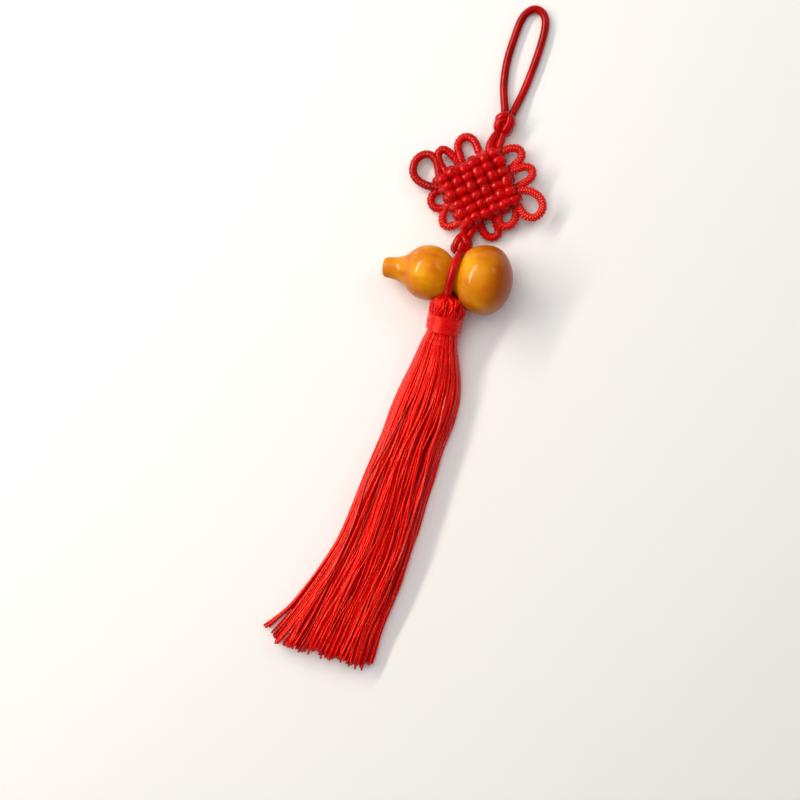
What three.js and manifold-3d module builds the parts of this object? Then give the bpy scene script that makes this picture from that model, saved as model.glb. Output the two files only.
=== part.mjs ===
// A knotted cord tassel with a turned wooden gourd, lying face up on a table.
// Millimetres, +Z up. +Y runs from the skirt's tips to the hanging loop.
// Tables give layout points: x to the right, y along the tassel, z above the table.
import * as THREE from "three";
import { mergeVertices } from "three/addons/utils/BufferGeometryUtils.js";
import Module from "manifold-3d";

const wasm = await Module();
wasm.setup();

// The layout point that becomes the part's origin: the middle of its outline without the hanging loop.
const ORIGIN = { x: 1.8, y: -62.4 };

const GAP = 0.3; // between one piece and the next
const CORD = 2.5; // knotting cord's diameter
const CORD_SIDES = 8;

// The woven knot: six lines crossing six, between the centres of its four corner cells.
const WEAVE = { lines: 6, thick: 8.4, relief: 1.1, alternate: 0.15, pressed: 0.45, cellSteps: 4, overhang: 0.52 };
const WEAVE_CORNERS = {
  top: { x: 3.2, y: 13.5 },
  right: { x: 14.0, y: 1.9 },
  left: { x: -9.6, y: 0.4 },
  bottom: { x: 1.8, y: -9.8 },
};

// Button knots: centre, half width, half length along the cord and half height.
const BUTTONS = [
  { x: 3.15, y: 23.1, z: 2.95, halfWidth: 3.25, halfLength: 3.25, halfHeight: 3.1 },
  { x: 3.05, y: -17.1, z: 2.95, halfWidth: 3.3, halfLength: 3.2, halfHeight: 3.1 },
];
const BUTTON_RELIEF = 0.32;

// The gourd's profile: distance from its stem end along the axis, and radius.
const GOURD_PROFILE = [
  { s: 0, r: 0 },
  { s: 0, r: 2.3 },
  { s: 0.6, r: 3.0 },
  { s: 2.5, r: 3.3 },
  { s: 5, r: 3.7 },
  { s: 7, r: 4.7 },
  { s: 8.8, r: 6.4 },
  { s: 10.6, r: 7.7 },
  { s: 12.4, r: 8.3 },
  { s: 14.4, r: 8.5 },
  { s: 16.5, r: 8.2 },
  { s: 18.4, r: 7.4 },
  { s: 19.7, r: 6.5 },
  { s: 20.7, r: 5.6 },
  { s: 22, r: 4.9 },
  { s: 23.3, r: 5.5 },
  { s: 24.3, r: 6.6 },
  { s: 25.4, r: 8.2 },
  { s: 27, r: 9.5 },
  { s: 29.4, r: 10.4 },
  { s: 32.4, r: 10.7 },
  { s: 35.3, r: 9.9 },
  { s: 37.4, r: 8.2 },
  { s: 39, r: 5.7 },
  { s: 40, r: 2.8 },
  { s: 40.3, r: 0 },
];
const GOURD = { x: -17.92, y: -31.45, z: 6.55, turn: 11, rise: 6.9, waist: 21.8, segments: 26 };

// The cord's path round the gourd's waist, one leg over it and one under.
const TIE_RADIUS = 6.8;

// The folded head: distance from its top along its axis, and radius.
const HEAD_PROFILE = [
  { t: 0, r: 3.2 },
  { t: 0.7, r: 4.3 },
  { t: 1.8, r: 5.1 },
  { t: 3.4, r: 5.5 },
  { t: 5.3, r: 5.45 },
  { t: 5.7, r: 4.3 },
  { t: 11.1, r: 4.2 },
  { t: 11.5, r: 5.0 },
  { t: 12.4, r: 5.15 },
];
const HEAD = { x: 4.55, y: -33.55, z: 9.3, endX: 6.15, endY: -45.4, endZ: 5.75, segments: 24 };
const BINDING = { from: 6.0, to: 10.8, inner: 4.6, outer: 5.5, crown: 0.12, segments: 30 };

// The skirt's sections: left and right edge, height, lift off the table, how far its sides have settled
// down on it (0 round, 1 lying), and each strand's own width and height there.
const SKIRT = [
  { y: -48.5, left: 0.5, right: 12.5, height: 10.2, lift: 0.4, flat: 0.15, wide: 0.6, tall: 0.75 },
  { y: -55, left: -0.2, right: 15.7, height: 9.9, lift: 0, flat: 0.6, wide: 0.8, tall: 0.8 },
  { y: -63, left: -1.1, right: 18.5, height: 9.4, lift: 0, flat: 1, wide: 1.0, tall: 0.8 },
  { y: -80, left: -2.1, right: 18.5, height: 9.0, lift: 0, flat: 1, wide: 1.05, tall: 0.8 },
  { y: -107, left: -3.7, right: 19.6, height: 8.4, lift: 0, flat: 1, wide: 1.15, tall: 0.75 },
  { y: -130, left: -8.3, right: 19, height: 7.5, lift: 0, flat: 1, wide: 1.3, tall: 0.7 },
  { y: -149.2, left: -17.4, right: 19.3, height: 6.6, lift: 0, flat: 1, wide: 1.6, tall: 0.6 },
];
const STRANDS = { columns: 16, rows: 8, root: { t: 11.8, radius: 4.55, wide: 0.46, tall: 0.7 } };
const TIPS = { middle: 2.4, uneven: 0.7 }; // how far the tips pass the last section

// The ears and corner loops: the crossings they leave and enter the weave at, counted in lines across and
// down from the top corner, the middle and radius of their round end, and the cord's height at each place.
const EARS = [
  { name: "left corner loop", from: [1, 5], to: [0, 4.6], x: -15.3, y: 1.7, r: 4.1, zFrom: 4, zTip: 1.3, zTo: 3.0 },
  { name: "upper left, outer", from: [0, 4], to: [0, 2.6], x: -11.6, y: 7.4, r: 1.75, zFrom: 5.4, zTip: 3.2, zTo: 3.4 },
  { name: "upper left, inner", from: [0, 1], to: [0.2, 3], x: -6.1, y: 13.3, r: 2.25, zFrom: 4.2, zTip: 2.2, zTo: 6.6 },
  { name: "upper right, inner", from: [0.8, 0], to: [2, 0], x: 9.5, y: 14.9, r: 1.95, zFrom: 4.6, zTip: 2.5, zTo: 4.4 },
  { name: "upper right, outer", from: [3, 0.2], to: [4, 0], x: 14.6, y: 10.5, r: 1.9, zFrom: 4.8, zTip: 2.7, zTo: 4.4 },
  { name: "right corner loop", from: [4.6, 0], to: [5, 0.4], x: 19.1, y: 1.7, r: 3.85, zFrom: 4.4, zTip: 1.3, zTo: 4.4 },
  { name: "lower right, outer", from: [5, 0.5], to: [4.6, 1.8], x: 13.4, y: -5.1, r: 2.4, zFrom: 3.8, zTip: 2.2, zTo: 5.4 },
  { name: "lower right, inner", from: [5, 4], to: [5, 2.4], x: 10.2, y: -9.7, r: 2.15, zFrom: 4.6, zTip: 2.2, zTo: 4.2 },
  { name: "lower left, inner", from: [2.8, 5], to: [4.4, 5], x: -3.5, y: -11, r: 2.1, zFrom: 4.6, zTip: 2.3, zTo: 4.2 },
  { name: "lower left, outer", from: [1, 5], to: [2.6, 5], x: -8.6, y: -6.6, r: 2.1, zFrom: 4.8, zTip: 2.4, zTo: 3.8 },
];
const EAR = { arcSteps: 7, steps: 11 };

// The two cords of each neck, between the weave and its button knots.
const NECKS = [
  [[2.2, 11.5, 4.6], [1.2, 13.6, 4.6], [0.75, 15.6, 4.3], [0.9, 17.4, 3.9], [1.7, 19.2, 3.4], [2.3, 21.2, 3.1]],
  [[3.6, 12, 4.4], [3.9, 14.4, 4.3], [4.15, 16.6, 4], [4.2, 18.8, 3.6], [4, 21.2, 3.1]],
  [[6.6, -5.2, 4.6], [4.8, -7.4, 4.8], [2.7, -8.9, 4.6], [1.6, -10.6, 4.2], [1.9, -12.6, 3.7], [2.4, -15, 3.2]],
  [[3, -7.6, 3.6], [4.6, -9.6, 3.7], [4.7, -11.6, 3.6], [4.1, -13.4, 3.4], [3.6, -15.4, 3.1]],
];

// The hanging loop's centre line, from the left leg at the upper button round to the right leg.
const LOOP = [
  [1.75, 27.3, 2.6], [1.0, 29.2, 2.1], [0.1, 31.4, 1.6], [-0.9, 34.3, 1.3], [-1.7, 37.6, 1.25], [-2.3, 41.2, 1.25],
  [-2.6, 45, 1.25], [-2.65, 49, 1.25], [-2.6, 52.8, 1.25], [-2.35, 55.8, 1.25], [-1.3, 58.5, 1.25], [0.6, 60.1, 1.25],
  [2.8, 59.9, 1.25], [4.6, 58.1, 1.25], [5.45, 55.2, 1.25], [5.8, 51.8, 1.25], [5.95, 48, 1.25], [5.95, 44, 1.25],
  [5.85, 40, 1.25], [5.65, 36, 1.25], [5.3, 32.4, 1.45], [4.9, 29.6, 1.95], [4.6, 27.3, 2.5],
];
const STUB = 1.4; // how far the loop's two legs stand out of the upper button knot
const LOOP_STEPS = 30;

const material = {
  cord: new THREE.MeshStandardMaterial({ name: "cord", color: "#c90d14", roughness: 0.5, metalness: 0 }),
  yarn: new THREE.MeshStandardMaterial({ name: "yarn", color: "#d91218", roughness: 0.55, metalness: 0 }),
  thread: new THREE.MeshStandardMaterial({ name: "thread", color: "#e0181d", roughness: 0.45, metalness: 0 }),
  gourd: new THREE.MeshStandardMaterial({ name: "gourd", color: "#d27a14", roughness: 0.22, metalness: 0 }),
};

const vector = ([x, y, z]) => new THREE.Vector3(x, y, z);
const mix = THREE.MathUtils.lerp;

// A closed geometry from its points and triangles, turned inside out where its volume comes out negative.
function closed(points, triangles) {
  let volume = 0;
  for (let i = 0; i < triangles.length; i += 3) {
    const [a, b, c] = [0, 1, 2].map((k) => points[triangles[i + k]]);
    volume += a.dot(b.clone().cross(c));
  }
  if (volume < 0) triangles.reverse();
  const geometry = new THREE.BufferGeometry().setFromPoints(points);
  geometry.setIndex(triangles);
  return geometry;
}

// A skin over rings of equally many points, with a fan over the first and the last.
function loft(rings) {
  const sides = rings[0].length;
  const points = rings.flat();
  const triangles = [];
  const quad = (a, b, c, d) => triangles.push(a, b, c, a, c, d);
  for (let k = 0; k < rings.length - 1; k++) {
    for (let i = 0; i < sides; i++) {
      const next = (i + 1) % sides;
      quad(k * sides + i, (k + 1) * sides + i, (k + 1) * sides + next, k * sides + next);
    }
  }
  const middle = (ring) => ring.reduce((sum, p) => sum.add(p), new THREE.Vector3()).divideScalar(sides);
  const first = points.push(middle(rings[0])) - 1;
  const last = points.push(middle(rings.at(-1))) - 1;
  const end = (rings.length - 1) * sides;
  for (let i = 0; i < sides; i++) {
    const next = (i + 1) % sides;
    triangles.push(first, i, next);
    triangles.push(last, end + next, end + i);
  }
  return closed(points, triangles);
}

function toSolid(geometry) {
  const bare = geometry.clone();
  bare.deleteAttribute("normal");
  bare.deleteAttribute("uv");
  const merged = mergeVertices(bare, 1e-4);
  const vertProperties = Float32Array.from(merged.getAttribute("position").array);
  const triVerts = Uint32Array.from(merged.getIndex().array);
  return new wasm.Manifold(new wasm.Mesh({ numProp: 3, vertProperties, triVerts }));
}

function toGeometry(solid) {
  const { vertProperties, triVerts } = solid.getMesh();
  const geometry = new THREE.BufferGeometry();
  geometry.setAttribute("position", new THREE.BufferAttribute(vertProperties, 3));
  geometry.setIndex(new THREE.BufferAttribute(triVerts, 1));
  return geometry;
}

const join = (solids) => wasm.Manifold.union(solids);

// A cord along a smooth curve through its route.
function cord(route, steps, diameter = CORD) {
  const path = new THREE.CatmullRomCurve3(route.map(vector), false, "centripetal");
  const section = new THREE.Shape();
  for (let i = 0; i < CORD_SIDES; i++) {
    const angle = ((i + 0.5) * 2 * Math.PI) / CORD_SIDES;
    const x = (diameter / 2) * Math.cos(angle);
    const y = (diameter / 2) * Math.sin(angle);
    if (i === 0) section.moveTo(x, y);
    else section.lineTo(x, y);
  }
  section.closePath();
  return new THREE.ExtrudeGeometry(section, { extrudePath: path, steps, curveSegments: 1 });
}

// A point of the weave: across runs from the top corner cell to the right one, down to the left one.
function weavePoint(across, down) {
  const { top, right, left, bottom } = WEAVE_CORNERS;
  const blend = (key) => mix(mix(top[key], right[key], across), mix(left[key], bottom[key], across), down);
  return { x: blend("x"), y: blend("y") };
}

// An ear's route: a straight leg, the arc that both legs touch, and the other leg.
function earRoute({ from, to, x, y, r, zFrom, zTip, zTo }) {
  const root = ([across, down]) => weavePoint(across / (WEAVE.lines - 1), down / (WEAVE.lines - 1));
  const [a, b] = [root(from), root(to)];
  const turn = Math.sign((x - a.x) * (b.y - a.y) - (y - a.y) * (b.x - a.x));
  const touch = (point, way) =>
    Math.atan2(point.y - y, point.x - x) + way * Math.acos(r / Math.hypot(point.x - x, point.y - y));
  const start = touch(a, turn);
  let sweep = touch(b, -turn) - start;
  while (sweep * turn < 0) sweep += turn * 2 * Math.PI;
  const arc = Array.from({ length: EAR.arcSteps }, (_, k) => {
    const angle = start + (sweep * k) / (EAR.arcSteps - 1);
    return { x: x + r * Math.cos(angle), y: y + r * Math.sin(angle) };
  });
  const plan = [a, ...arc, b];
  return plan.map((point, k) => {
    const t = k / (plan.length - 1);
    return [point.x, point.y, mix(mix(zFrom, zTo, t), zTip, Math.sin(Math.PI * t))];
  });
}

// The woven body: a cushion whose front and back rise over every crossing and dip between the lines.
function weaveBody() {
  const { lines, thick, relief, alternate, pressed, cellSteps, overhang } = WEAVE;
  const steps = lines * cellSteps;
  const span = lines - 1 + 2 * overhang;
  const edge = (t) => Math.sqrt(1 - Math.abs(2 * t - 1) ** 5);
  const swell = (cell) => Math.abs(Math.cos(Math.PI * cell)) ** 0.6;
  const side = (face) => {
    const grid = [];
    for (let j = 0; j <= steps; j++) {
      for (let i = 0; i <= steps; i++) {
        const [u, v] = [i / steps, j / steps];
        const [cellU, cellV] = [u * span - overhang, v * span - overhang];
        const { x, y } = weavePoint(cellU / (lines - 1), cellV / (lines - 1));
        const proud = (Math.round(cellU) + Math.round(cellV)) % 2 === 0 ? alternate : -alternate;
        const swelling = swell(cellU) * swell(cellV);
        const height = thick / 2 + proud * swelling - relief * (1 - swelling);
        const reach = face > 0 ? height : height + pressed;
        const z = thick / 2 + face * edge(u) * edge(v) * reach;
        grid.push(new THREE.Vector3(x, y, Math.max(z, 0)));
      }
    }
    return grid;
  };
  const front = side(1);
  const back = side(-1);
  const triangles = [];
  const row = steps + 1;
  for (let j = 0; j < steps; j++) {
    for (let i = 0; i < steps; i++) {
      const a = j * row + i;
      const [b, c, d] = [a + 1, a + row + 1, a + row];
      triangles.push(a, c, b, a, d, c);
      const [e, f, g, h] = [a, b, c, d].map((k) => k + front.length);
      triangles.push(e, f, g, e, g, h);
    }
  }
  return closed([...front, ...back], triangles);
}

// A button knot: a ball with its plaited strands raised in its points and a small flat under it.
function buttonKnot({ x, y, z, halfWidth, halfLength, halfHeight }) {
  const [around, along] = [20, 10];
  const rings = [];
  for (let k = 0; k < along; k++) {
    const polar = mix(0.32, Math.PI - 0.32, k / (along - 1));
    rings.push(
      Array.from({ length: around }, (_, i) => {
        const angle = (i * 2 * Math.PI) / around;
        const plait = Math.abs(Math.sin(1.5 * (angle + polar)) * Math.sin(1.5 * (angle - polar)));
        const scale = 1 - (BUTTON_RELIEF / halfWidth) * (1 - Math.sqrt(plait));
        const girth = Math.sin(polar) ** 0.75;
        return new THREE.Vector3(
          x + halfWidth * scale * girth * Math.cos(angle),
          y + halfLength * Math.cos(polar),
          Math.max(z + halfHeight * scale * girth * Math.sin(angle), 0),
        );
      }),
    );
  }
  return loft(rings);
}

// The gourd's axis, and the two directions square to it: level, and upwards.
const gourdAxis = new THREE.Vector3(1, 0, 0)
  .applyAxisAngle(new THREE.Vector3(0, -1, 0), THREE.MathUtils.degToRad(GOURD.rise))
  .applyAxisAngle(new THREE.Vector3(0, 0, 1), THREE.MathUtils.degToRad(GOURD.turn));
const gourdSide = new THREE.Vector3(0, 0, 1).cross(gourdAxis).normalize();
const gourdUp = gourdAxis.clone().cross(gourdSide);
const gourdStem = new THREE.Vector3(GOURD.x, GOURD.y, GOURD.z);

// A point round the gourd: s along its axis, r off it, at an angle up from its loop side.
function roundGourd(s, r, degrees) {
  const angle = THREE.MathUtils.degToRad(degrees);
  return gourdStem
    .clone()
    .addScaledVector(gourdAxis, s)
    .addScaledVector(gourdSide, r * Math.cos(angle))
    .addScaledVector(gourdUp, r * Math.sin(angle));
}

function gourdRadius(s) {
  const after = GOURD_PROFILE.findIndex((row) => row.s > s);
  if (after < 1) return 0;
  const [a, b] = [GOURD_PROFILE[after - 1], GOURD_PROFILE[after]];
  return mix(a.r, b.r, (s - a.s) / (b.s - a.s));
}

// Moves a point that lies in the gourd, or too near it, straight off the gourd's axis.
function clearOfGourd(point, gap) {
  const offset = point.clone().sub(gourdStem);
  const s = offset.dot(gourdAxis);
  const off = offset.addScaledVector(gourdAxis, -s);
  const least = gourdRadius(s) + gap;
  const distance = off.length();
  if (gourdRadius(s) > 0 && distance < least) point.addScaledVector(off, (least - distance) / distance);
  return point;
}

// The turned gourd, with a small flat spot where each of its two lobes rests.
function gourdCharm() {
  const profile = GOURD_PROFILE.map(({ s, r }) => new THREE.Vector2(r, s));
  const lathe = new THREE.LatheGeometry(profile, GOURD.segments);
  const toAxis = new THREE.Matrix4().makeBasis(gourdSide, gourdAxis, gourdUp.clone().negate());
  lathe.applyMatrix4(toAxis.setPosition(gourdStem));
  const depth = 4;
  const table = new THREE.BoxGeometry(60, 40, depth).translate(GOURD.x + 20, GOURD.y + 4, -depth / 2);
  return toGeometry(toSolid(lathe).subtract(toSolid(table)));
}

// The cord's two legs, from the lower button knot round the gourd's waist and into the tassel's head.
function tieRoutes() {
  const button = BUTTONS[1];
  const end = { x: HEAD.x, y: HEAD.y - 2.4, z: HEAD.z };
  const waist = (degrees) => roundGourd(GOURD.waist, TIE_RADIUS, degrees).toArray();
  const over = [-5, 22, 45, 68, 90, 112, 134, 152].map(waist);
  const under = [-58, -78, -98, -118, -138].map(waist);
  const start = button.y - button.halfLength;
  return [
    [[button.x, start + 1.4, 3.6], [button.x - 0.3, start - 0.1, 5.6], ...over, [end.x - 0.2, end.y, end.z + 1.4]],
    [[button.x + 0.2, start + 1.4, 2.6], [button.x, start - 0.4, 2.7], ...under, [end.x + 0.3, end.y, end.z - 1.4]],
  ];
}

// The head's axis, and the two directions square to it.
const headTop = new THREE.Vector3(HEAD.x, HEAD.y, HEAD.z);
const headAxis = new THREE.Vector3(HEAD.endX, HEAD.endY, HEAD.endZ).sub(headTop).normalize();
const headSide = headAxis.clone().cross(new THREE.Vector3(0, 0, 1)).normalize().negate();
const headUp = headAxis.clone().cross(headSide);

// A point of the head: t along its axis, then across it and up.
function inHead(t, across, up) {
  return headTop
    .clone()
    .addScaledVector(headAxis, t)
    .addScaledVector(headSide, across)
    .addScaledVector(headUp, up);
}

function headRing({ t, r }) {
  return Array.from({ length: HEAD.segments }, (_, i) => {
    const angle = (i * 2 * Math.PI) / HEAD.segments;
    return clearOfGourd(inHead(t, r * Math.cos(angle), r * Math.sin(angle)), GAP + 0.1);
  });
}

// One strand: three-sided, its flat side down. column runs from -1 to 1 across the skirt, row from 0 up.
// Each column of the round root is lowered on to the table without changing its spacing.
function strand(column, row) {
  const crown = Math.sqrt(1 - column * column);
  const level = row / STRANDS.rows;
  const section = (middle, wide, tall) => [
    middle.clone().add(new THREE.Vector3(-wide / 2, 0, 0)),
    middle.clone().add(new THREE.Vector3(wide / 2, 0, 0)),
    middle.clone().add(new THREE.Vector3(0, 0, tall)),
  ];
  const { t, radius, wide, tall } = STRANDS.root;
  const low = (1 - crown) / 2;
  const root = inHead(t, radius * column, radius * (2 * (level + low) - 1) - tall / 2);
  const tip = TIPS.middle * crown + TIPS.uneven * Math.sin(9 * column + 2.3 * row);
  const rings = SKIRT.map(({ y, left, right, height, lift, flat, ...strandSize }, k) => {
    const x = mix(left + strandSize.wide / 2, right - strandSize.wide / 2, (column + 1) / 2);
    const z = lift + (height - strandSize.tall) * (level + (1 - flat) * low);
    const end = k === SKIRT.length - 1 ? tip : 0;
    return section(new THREE.Vector3(x, y - end, z), strandSize.wide, strandSize.tall);
  });
  return loft([section(root, wide, tall), ...rings]);
}

// The yarn bundle folded over the cord's end, drawn in under its binding, with the skirt's strands below.
function tassel(ties) {
  let head = toSolid(loft(HEAD_PROFILE.map(headRing)));
  ties.forEach((route) => {
    const [before, last] = route.slice(-2).map(vector);
    const deeper = last.clone().addScaledVector(last.clone().sub(before).normalize(), GAP);
    const socket = [...route.slice(-5), deeper.toArray()];
    head = head.subtract(toSolid(cord(socket, 12, CORD + 2 * GAP)));
  });
  const strands = [];
  for (let row = 0; row < STRANDS.rows; row++) {
    const inRow = STRANDS.columns - (row % 2);
    for (let i = 0; i < inRow; i++) {
      const column = (2 * i + 1 - inRow) / STRANDS.columns;
      if (row <= Math.sqrt(1 - column * column) * (STRANDS.rows - 1)) strands.push(strand(column, row));
    }
  }
  return toGeometry(join([head, ...strands.map(toSolid)]));
}

// The wound band: a closed profile turned round the head's axis.
function headBinding() {
  const { from, to, inner, outer, crown, segments } = BINDING;
  const middle = (from + to) / 2;
  const round = 0.35;
  const profile = [
    [inner, from],
    [outer - round, from],
    [outer, from + round],
    [outer + crown, middle],
    [outer, to - round],
    [outer - round, to],
    [inner, to],
    [inner, from],
  ].map(([r, t]) => new THREE.Vector2(r, t));
  const lathe = new THREE.LatheGeometry(profile, segments);
  const toAxis = new THREE.Matrix4().makeBasis(headSide, headAxis, headSide.clone().cross(headAxis));
  lathe.applyMatrix4(toAxis.setPosition(headTop));
  return lathe;
}

// All that is tied from the one cord, apart from its free loop.
function knottedCord(ties) {
  const pieces = [weaveBody()];
  EARS.forEach((ear) => pieces.push(cord(earRoute(ear), EAR.steps)));
  NECKS.forEach((route) => pieces.push(cord(route, route.length)));
  BUTTONS.forEach((button) => pieces.push(buttonKnot(button)));
  ties.forEach((route) => pieces.push(cord(route, Math.round(route.length * 1.5))));
  [LOOP[0], LOOP.at(-1)].forEach(([x, y, z], i) => {
    const inner = [x + (i ? -0.3 : 0.5), y - GAP - STUB, z + 0.3];
    pieces.push(cord([inner, [x, y - GAP, z]], 1));
  });
  return toGeometry(join(pieces.map(toSolid)));
}

const part = new THREE.Group();
part.position.set(-ORIGIN.x, -ORIGIN.y, 0);

function add(name, geometry, finish) {
  const mesh = new THREE.Mesh(geometry, finish);
  mesh.name = name;
  part.add(mesh);
}

const ties = tieRoutes();
add("hanging_loop", cord(LOOP, LOOP_STEPS), material.cord);
add("knotted_cord", knottedCord(ties), material.cord);
add("gourd_charm", gourdCharm(), material.gourd);
add("tassel", tassel(ties), material.yarn);
add("head_binding", headBinding(), material.thread);

export default part;
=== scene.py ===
"""A red knotted cord tassel with a turned wooden gourd, lying face up on a pale table.

The shapes are worked out in layout millimetres, as the solids are: x to the right, y along the tassel
towards its hanging loop, z above the table. in_frame() turns them into the frame's metres.
"""
import math

import bpy
import numpy as np
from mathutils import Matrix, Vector


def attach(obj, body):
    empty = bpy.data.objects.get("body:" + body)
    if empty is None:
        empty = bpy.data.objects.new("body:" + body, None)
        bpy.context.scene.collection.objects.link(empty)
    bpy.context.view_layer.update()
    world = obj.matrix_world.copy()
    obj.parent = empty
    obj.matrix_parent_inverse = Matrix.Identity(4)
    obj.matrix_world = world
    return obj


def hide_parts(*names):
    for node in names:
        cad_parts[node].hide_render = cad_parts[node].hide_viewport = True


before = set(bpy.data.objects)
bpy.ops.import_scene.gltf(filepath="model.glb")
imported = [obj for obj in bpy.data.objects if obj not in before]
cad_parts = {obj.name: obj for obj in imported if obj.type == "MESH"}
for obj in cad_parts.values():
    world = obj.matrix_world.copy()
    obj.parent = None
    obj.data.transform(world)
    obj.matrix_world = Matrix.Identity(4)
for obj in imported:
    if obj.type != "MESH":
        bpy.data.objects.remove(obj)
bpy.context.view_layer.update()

bl_info = {
    "name": "Knotted Cord Tassel",
    "version": (1, 0, 0),
    "blender": (4, 5, 0),
    "location": "View3D > Sidebar > Tassel",
    "description": "Builds the cords, knots, gourd and yarn of a knotted tassel round its packed solids",
    "category": "Add Mesh",
}

MM = 0.001
LAYOUT_ORIGIN = np.array([1.8, -62.4, 0.0])
UP = np.array([0.0, 0.0, 1.0])

# Cords: sides and step of their skins, the smallest ring of a rounded end, the rows of the braid round them,
# the pitch of its ribs and their relief as a share of the half width, and a piece's tone, from 0 to 1, which
# paints light on the cord: below the middle as painted shade, above it brighter and with painted highlight
# dots.
CORD_SIDES = 24
CORD_STEP = 0.2
END_RING = 0.12
BRAID_ROWS = 4
RIB_PITCH = 0.85
EAR_PITCH = 1.05
RELIEF = {"weave": 0.025, "ear": 0.08, "neck": 0.04, "button": 0.03, "tie": 0.03, "loop": 0.02}
CORD_TONE = 0.5
# The hanging loop's low tone is painted shade.
LOOP_PAINTED_SHADE = 0.2

LINES = 6
CELL_STEPS = 4
WEAVE_CORNERS = {"top": (3.2, 13.1), "right": (13.6, 1.2), "left": (-9.6, 0.1), "bottom": (1.8, -10.1)}
# The woven knot: the heights of its middle and of the front and back pairs of cords, how far a cord rises and
# dips from its pair and how wide the tops of that wave are, its half width in each family, its half height
# and how much it swells into beads. Then its way round from front to back, as lines past the last one and as
# shares of the pair's height, how much it thins towards the corners and up to what, and how uneven it is.
WEAVE = {
    "middle": 4.2, "pair": 1.95, "rise": 1.25, "held": 1.25, "wide": (1.42, 1.6), "tall": 1.08, "swell": 0.12,
    "turn": (0.36, 0.5, 0.36), "bend": (0.75, 0, -0.75), "corner_drop": 0.16, "corner_most": 1.6,
    "uneven": (0.16, 0.16, 0.2), "seed": 5,
}

# The ears and corner loops: the height each leaves and enters the weave at and that of its tip, its centre
# line from one end to the other, and its tone: painted light, low on the left corner loop as painted shade,
# high on the right-hand ears and the lower left inner ear as painted highlight.
EARS = {
    "left corner loop": {
        "from_z": 4.2, "tip_z": 2.6, "to_z": 5.6, "tone": 0.3,
        "line": [(-7.6, -1.6), (-9.4, -2.2), (-11.5, -2.9), (-14, -3), (-16.8, -2.3), (-18.7, -0.6),
                 (-19.3, 1.8), (-18.8, 4.2), (-17.2, 5.9), (-15.2, 6.3), (-13.2, 5.2), (-11.9, 3.2),
                 (-10.8, 1.2), (-8.9, -0.6)],
    },
    "upper left outer ear": {
        "from_z": 5.2, "tip_z": 3.2, "to_z": 3.2, "tone": CORD_TONE,
        "line": [(-6.4, 1.4), (-8.6, 2.5), (-10.9, 3.9), (-12.6, 5.8), (-13.2, 7.7), (-12.4, 9.1),
                 (-10.8, 9.1), (-8.4, 8), (-6.3, 6.6), (-4.2, 5)],
    },
    "upper left inner ear": {
        "from_z": 4.6, "tip_z": 2.2, "to_z": 6.6, "tone": CORD_TONE,
        "line": [(1, 9.4), (-0.2, 10.6), (-1.5, 12), (-3, 13.9), (-4.6, 15.2), (-6.3, 15.5), (-7.8, 14.6),
                 (-8.4, 12.6), (-7.9, 10.8), (-6.6, 8.9), (-5.4, 7.2), (-4.6, 5.2), (-4.2, 3.6)],
    },
    "upper right inner ear": {
        "from_z": 4.4, "tip_z": 3.8, "to_z": 4.2, "tone": 0.8,
        "line": [(3.6, 11.6), (4.6, 13.3), (5.9, 15), (7.8, 16.4), (9.8, 16.8), (11.2, 15.8), (11.3, 13.9),
                 (10.4, 12), (9.4, 10.2), (8.2, 8.2)],
    },
    "upper right outer ear": {
        "from_z": 4.8, "tip_z": 4.6, "to_z": 4.2, "tone": 0.8,
        "line": [(8.8, 8), (10.2, 9.7), (11.9, 11.2), (13.8, 12.3), (15.5, 12.2), (16.4, 10.8), (16.2, 9.2),
                 (15, 7.6), (13.9, 6.2), (12.2, 4.2)],
    },
    "right corner loop": {
        "from_z": 4.4, "tip_z": 5.0, "to_z": 4.2, "tone": 1.0,
        "line": [(11.6, 3.2), (13.8, 4.4), (15.6, 5.2), (17.8, 5.5), (20.2, 5), (22, 3.6), (22.8, 1.6),
                 (22.3, -0.6), (20.8, -2), (18.6, -2.1), (16.8, -1.1), (15.2, 0.3), (12.8, 1.6)],
    },
    "lower right outer ear": {
        "from_z": 3.8, "tip_z": 3.4, "to_z": 5.4, "tone": 0.7,
        "line": [(13.2, 1.4), (14.6, -0.4), (15.6, -2.4), (15.8, -4.6), (14.9, -6.5), (13.1, -7.2),
                 (11.5, -6.4), (10.9, -4.8), (10.2, -2.8), (9, -1)],
    },
    "lower right inner ear": {
        "from_z": 4.4, "tip_z": 2.2, "to_z": 4.2, "tone": CORD_TONE,
        "line": [(3.8, -5.6), (5.2, -7.6), (6.3, -9.2), (8, -11), (10.2, -11.8), (12, -10.9), (12.3, -9.2),
                 (11.2, -7.6), (10, -6), (8.2, -3.6)],
    },
    "lower left inner ear": {
        "from_z": 4.6, "tip_z": 2.3, "to_z": 4.2, "tone": 0.8,
        "line": [(-4, -4.4), (-5.2, -6.4), (-5.7, -8.6), (-5.6, -10.9), (-4.6, -12.6), (-2.9, -12.8),
                 (-1.3, -11.8), (0, -10.2), (0.8, -8.6)],
    },
    "lower left outer ear": {
        "from_z": 4.6, "tip_z": 2.4, "to_z": 3.8, "tone": CORD_TONE,
        "line": [(-6.2, -0.8), (-8, -2.2), (-9.6, -3.4), (-10.7, -5.2), (-10.6, -7.2), (-9, -8.6),
                 (-7, -8.3), (-5.3, -7.2), (-3.4, -5.6)],
    },
}

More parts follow.
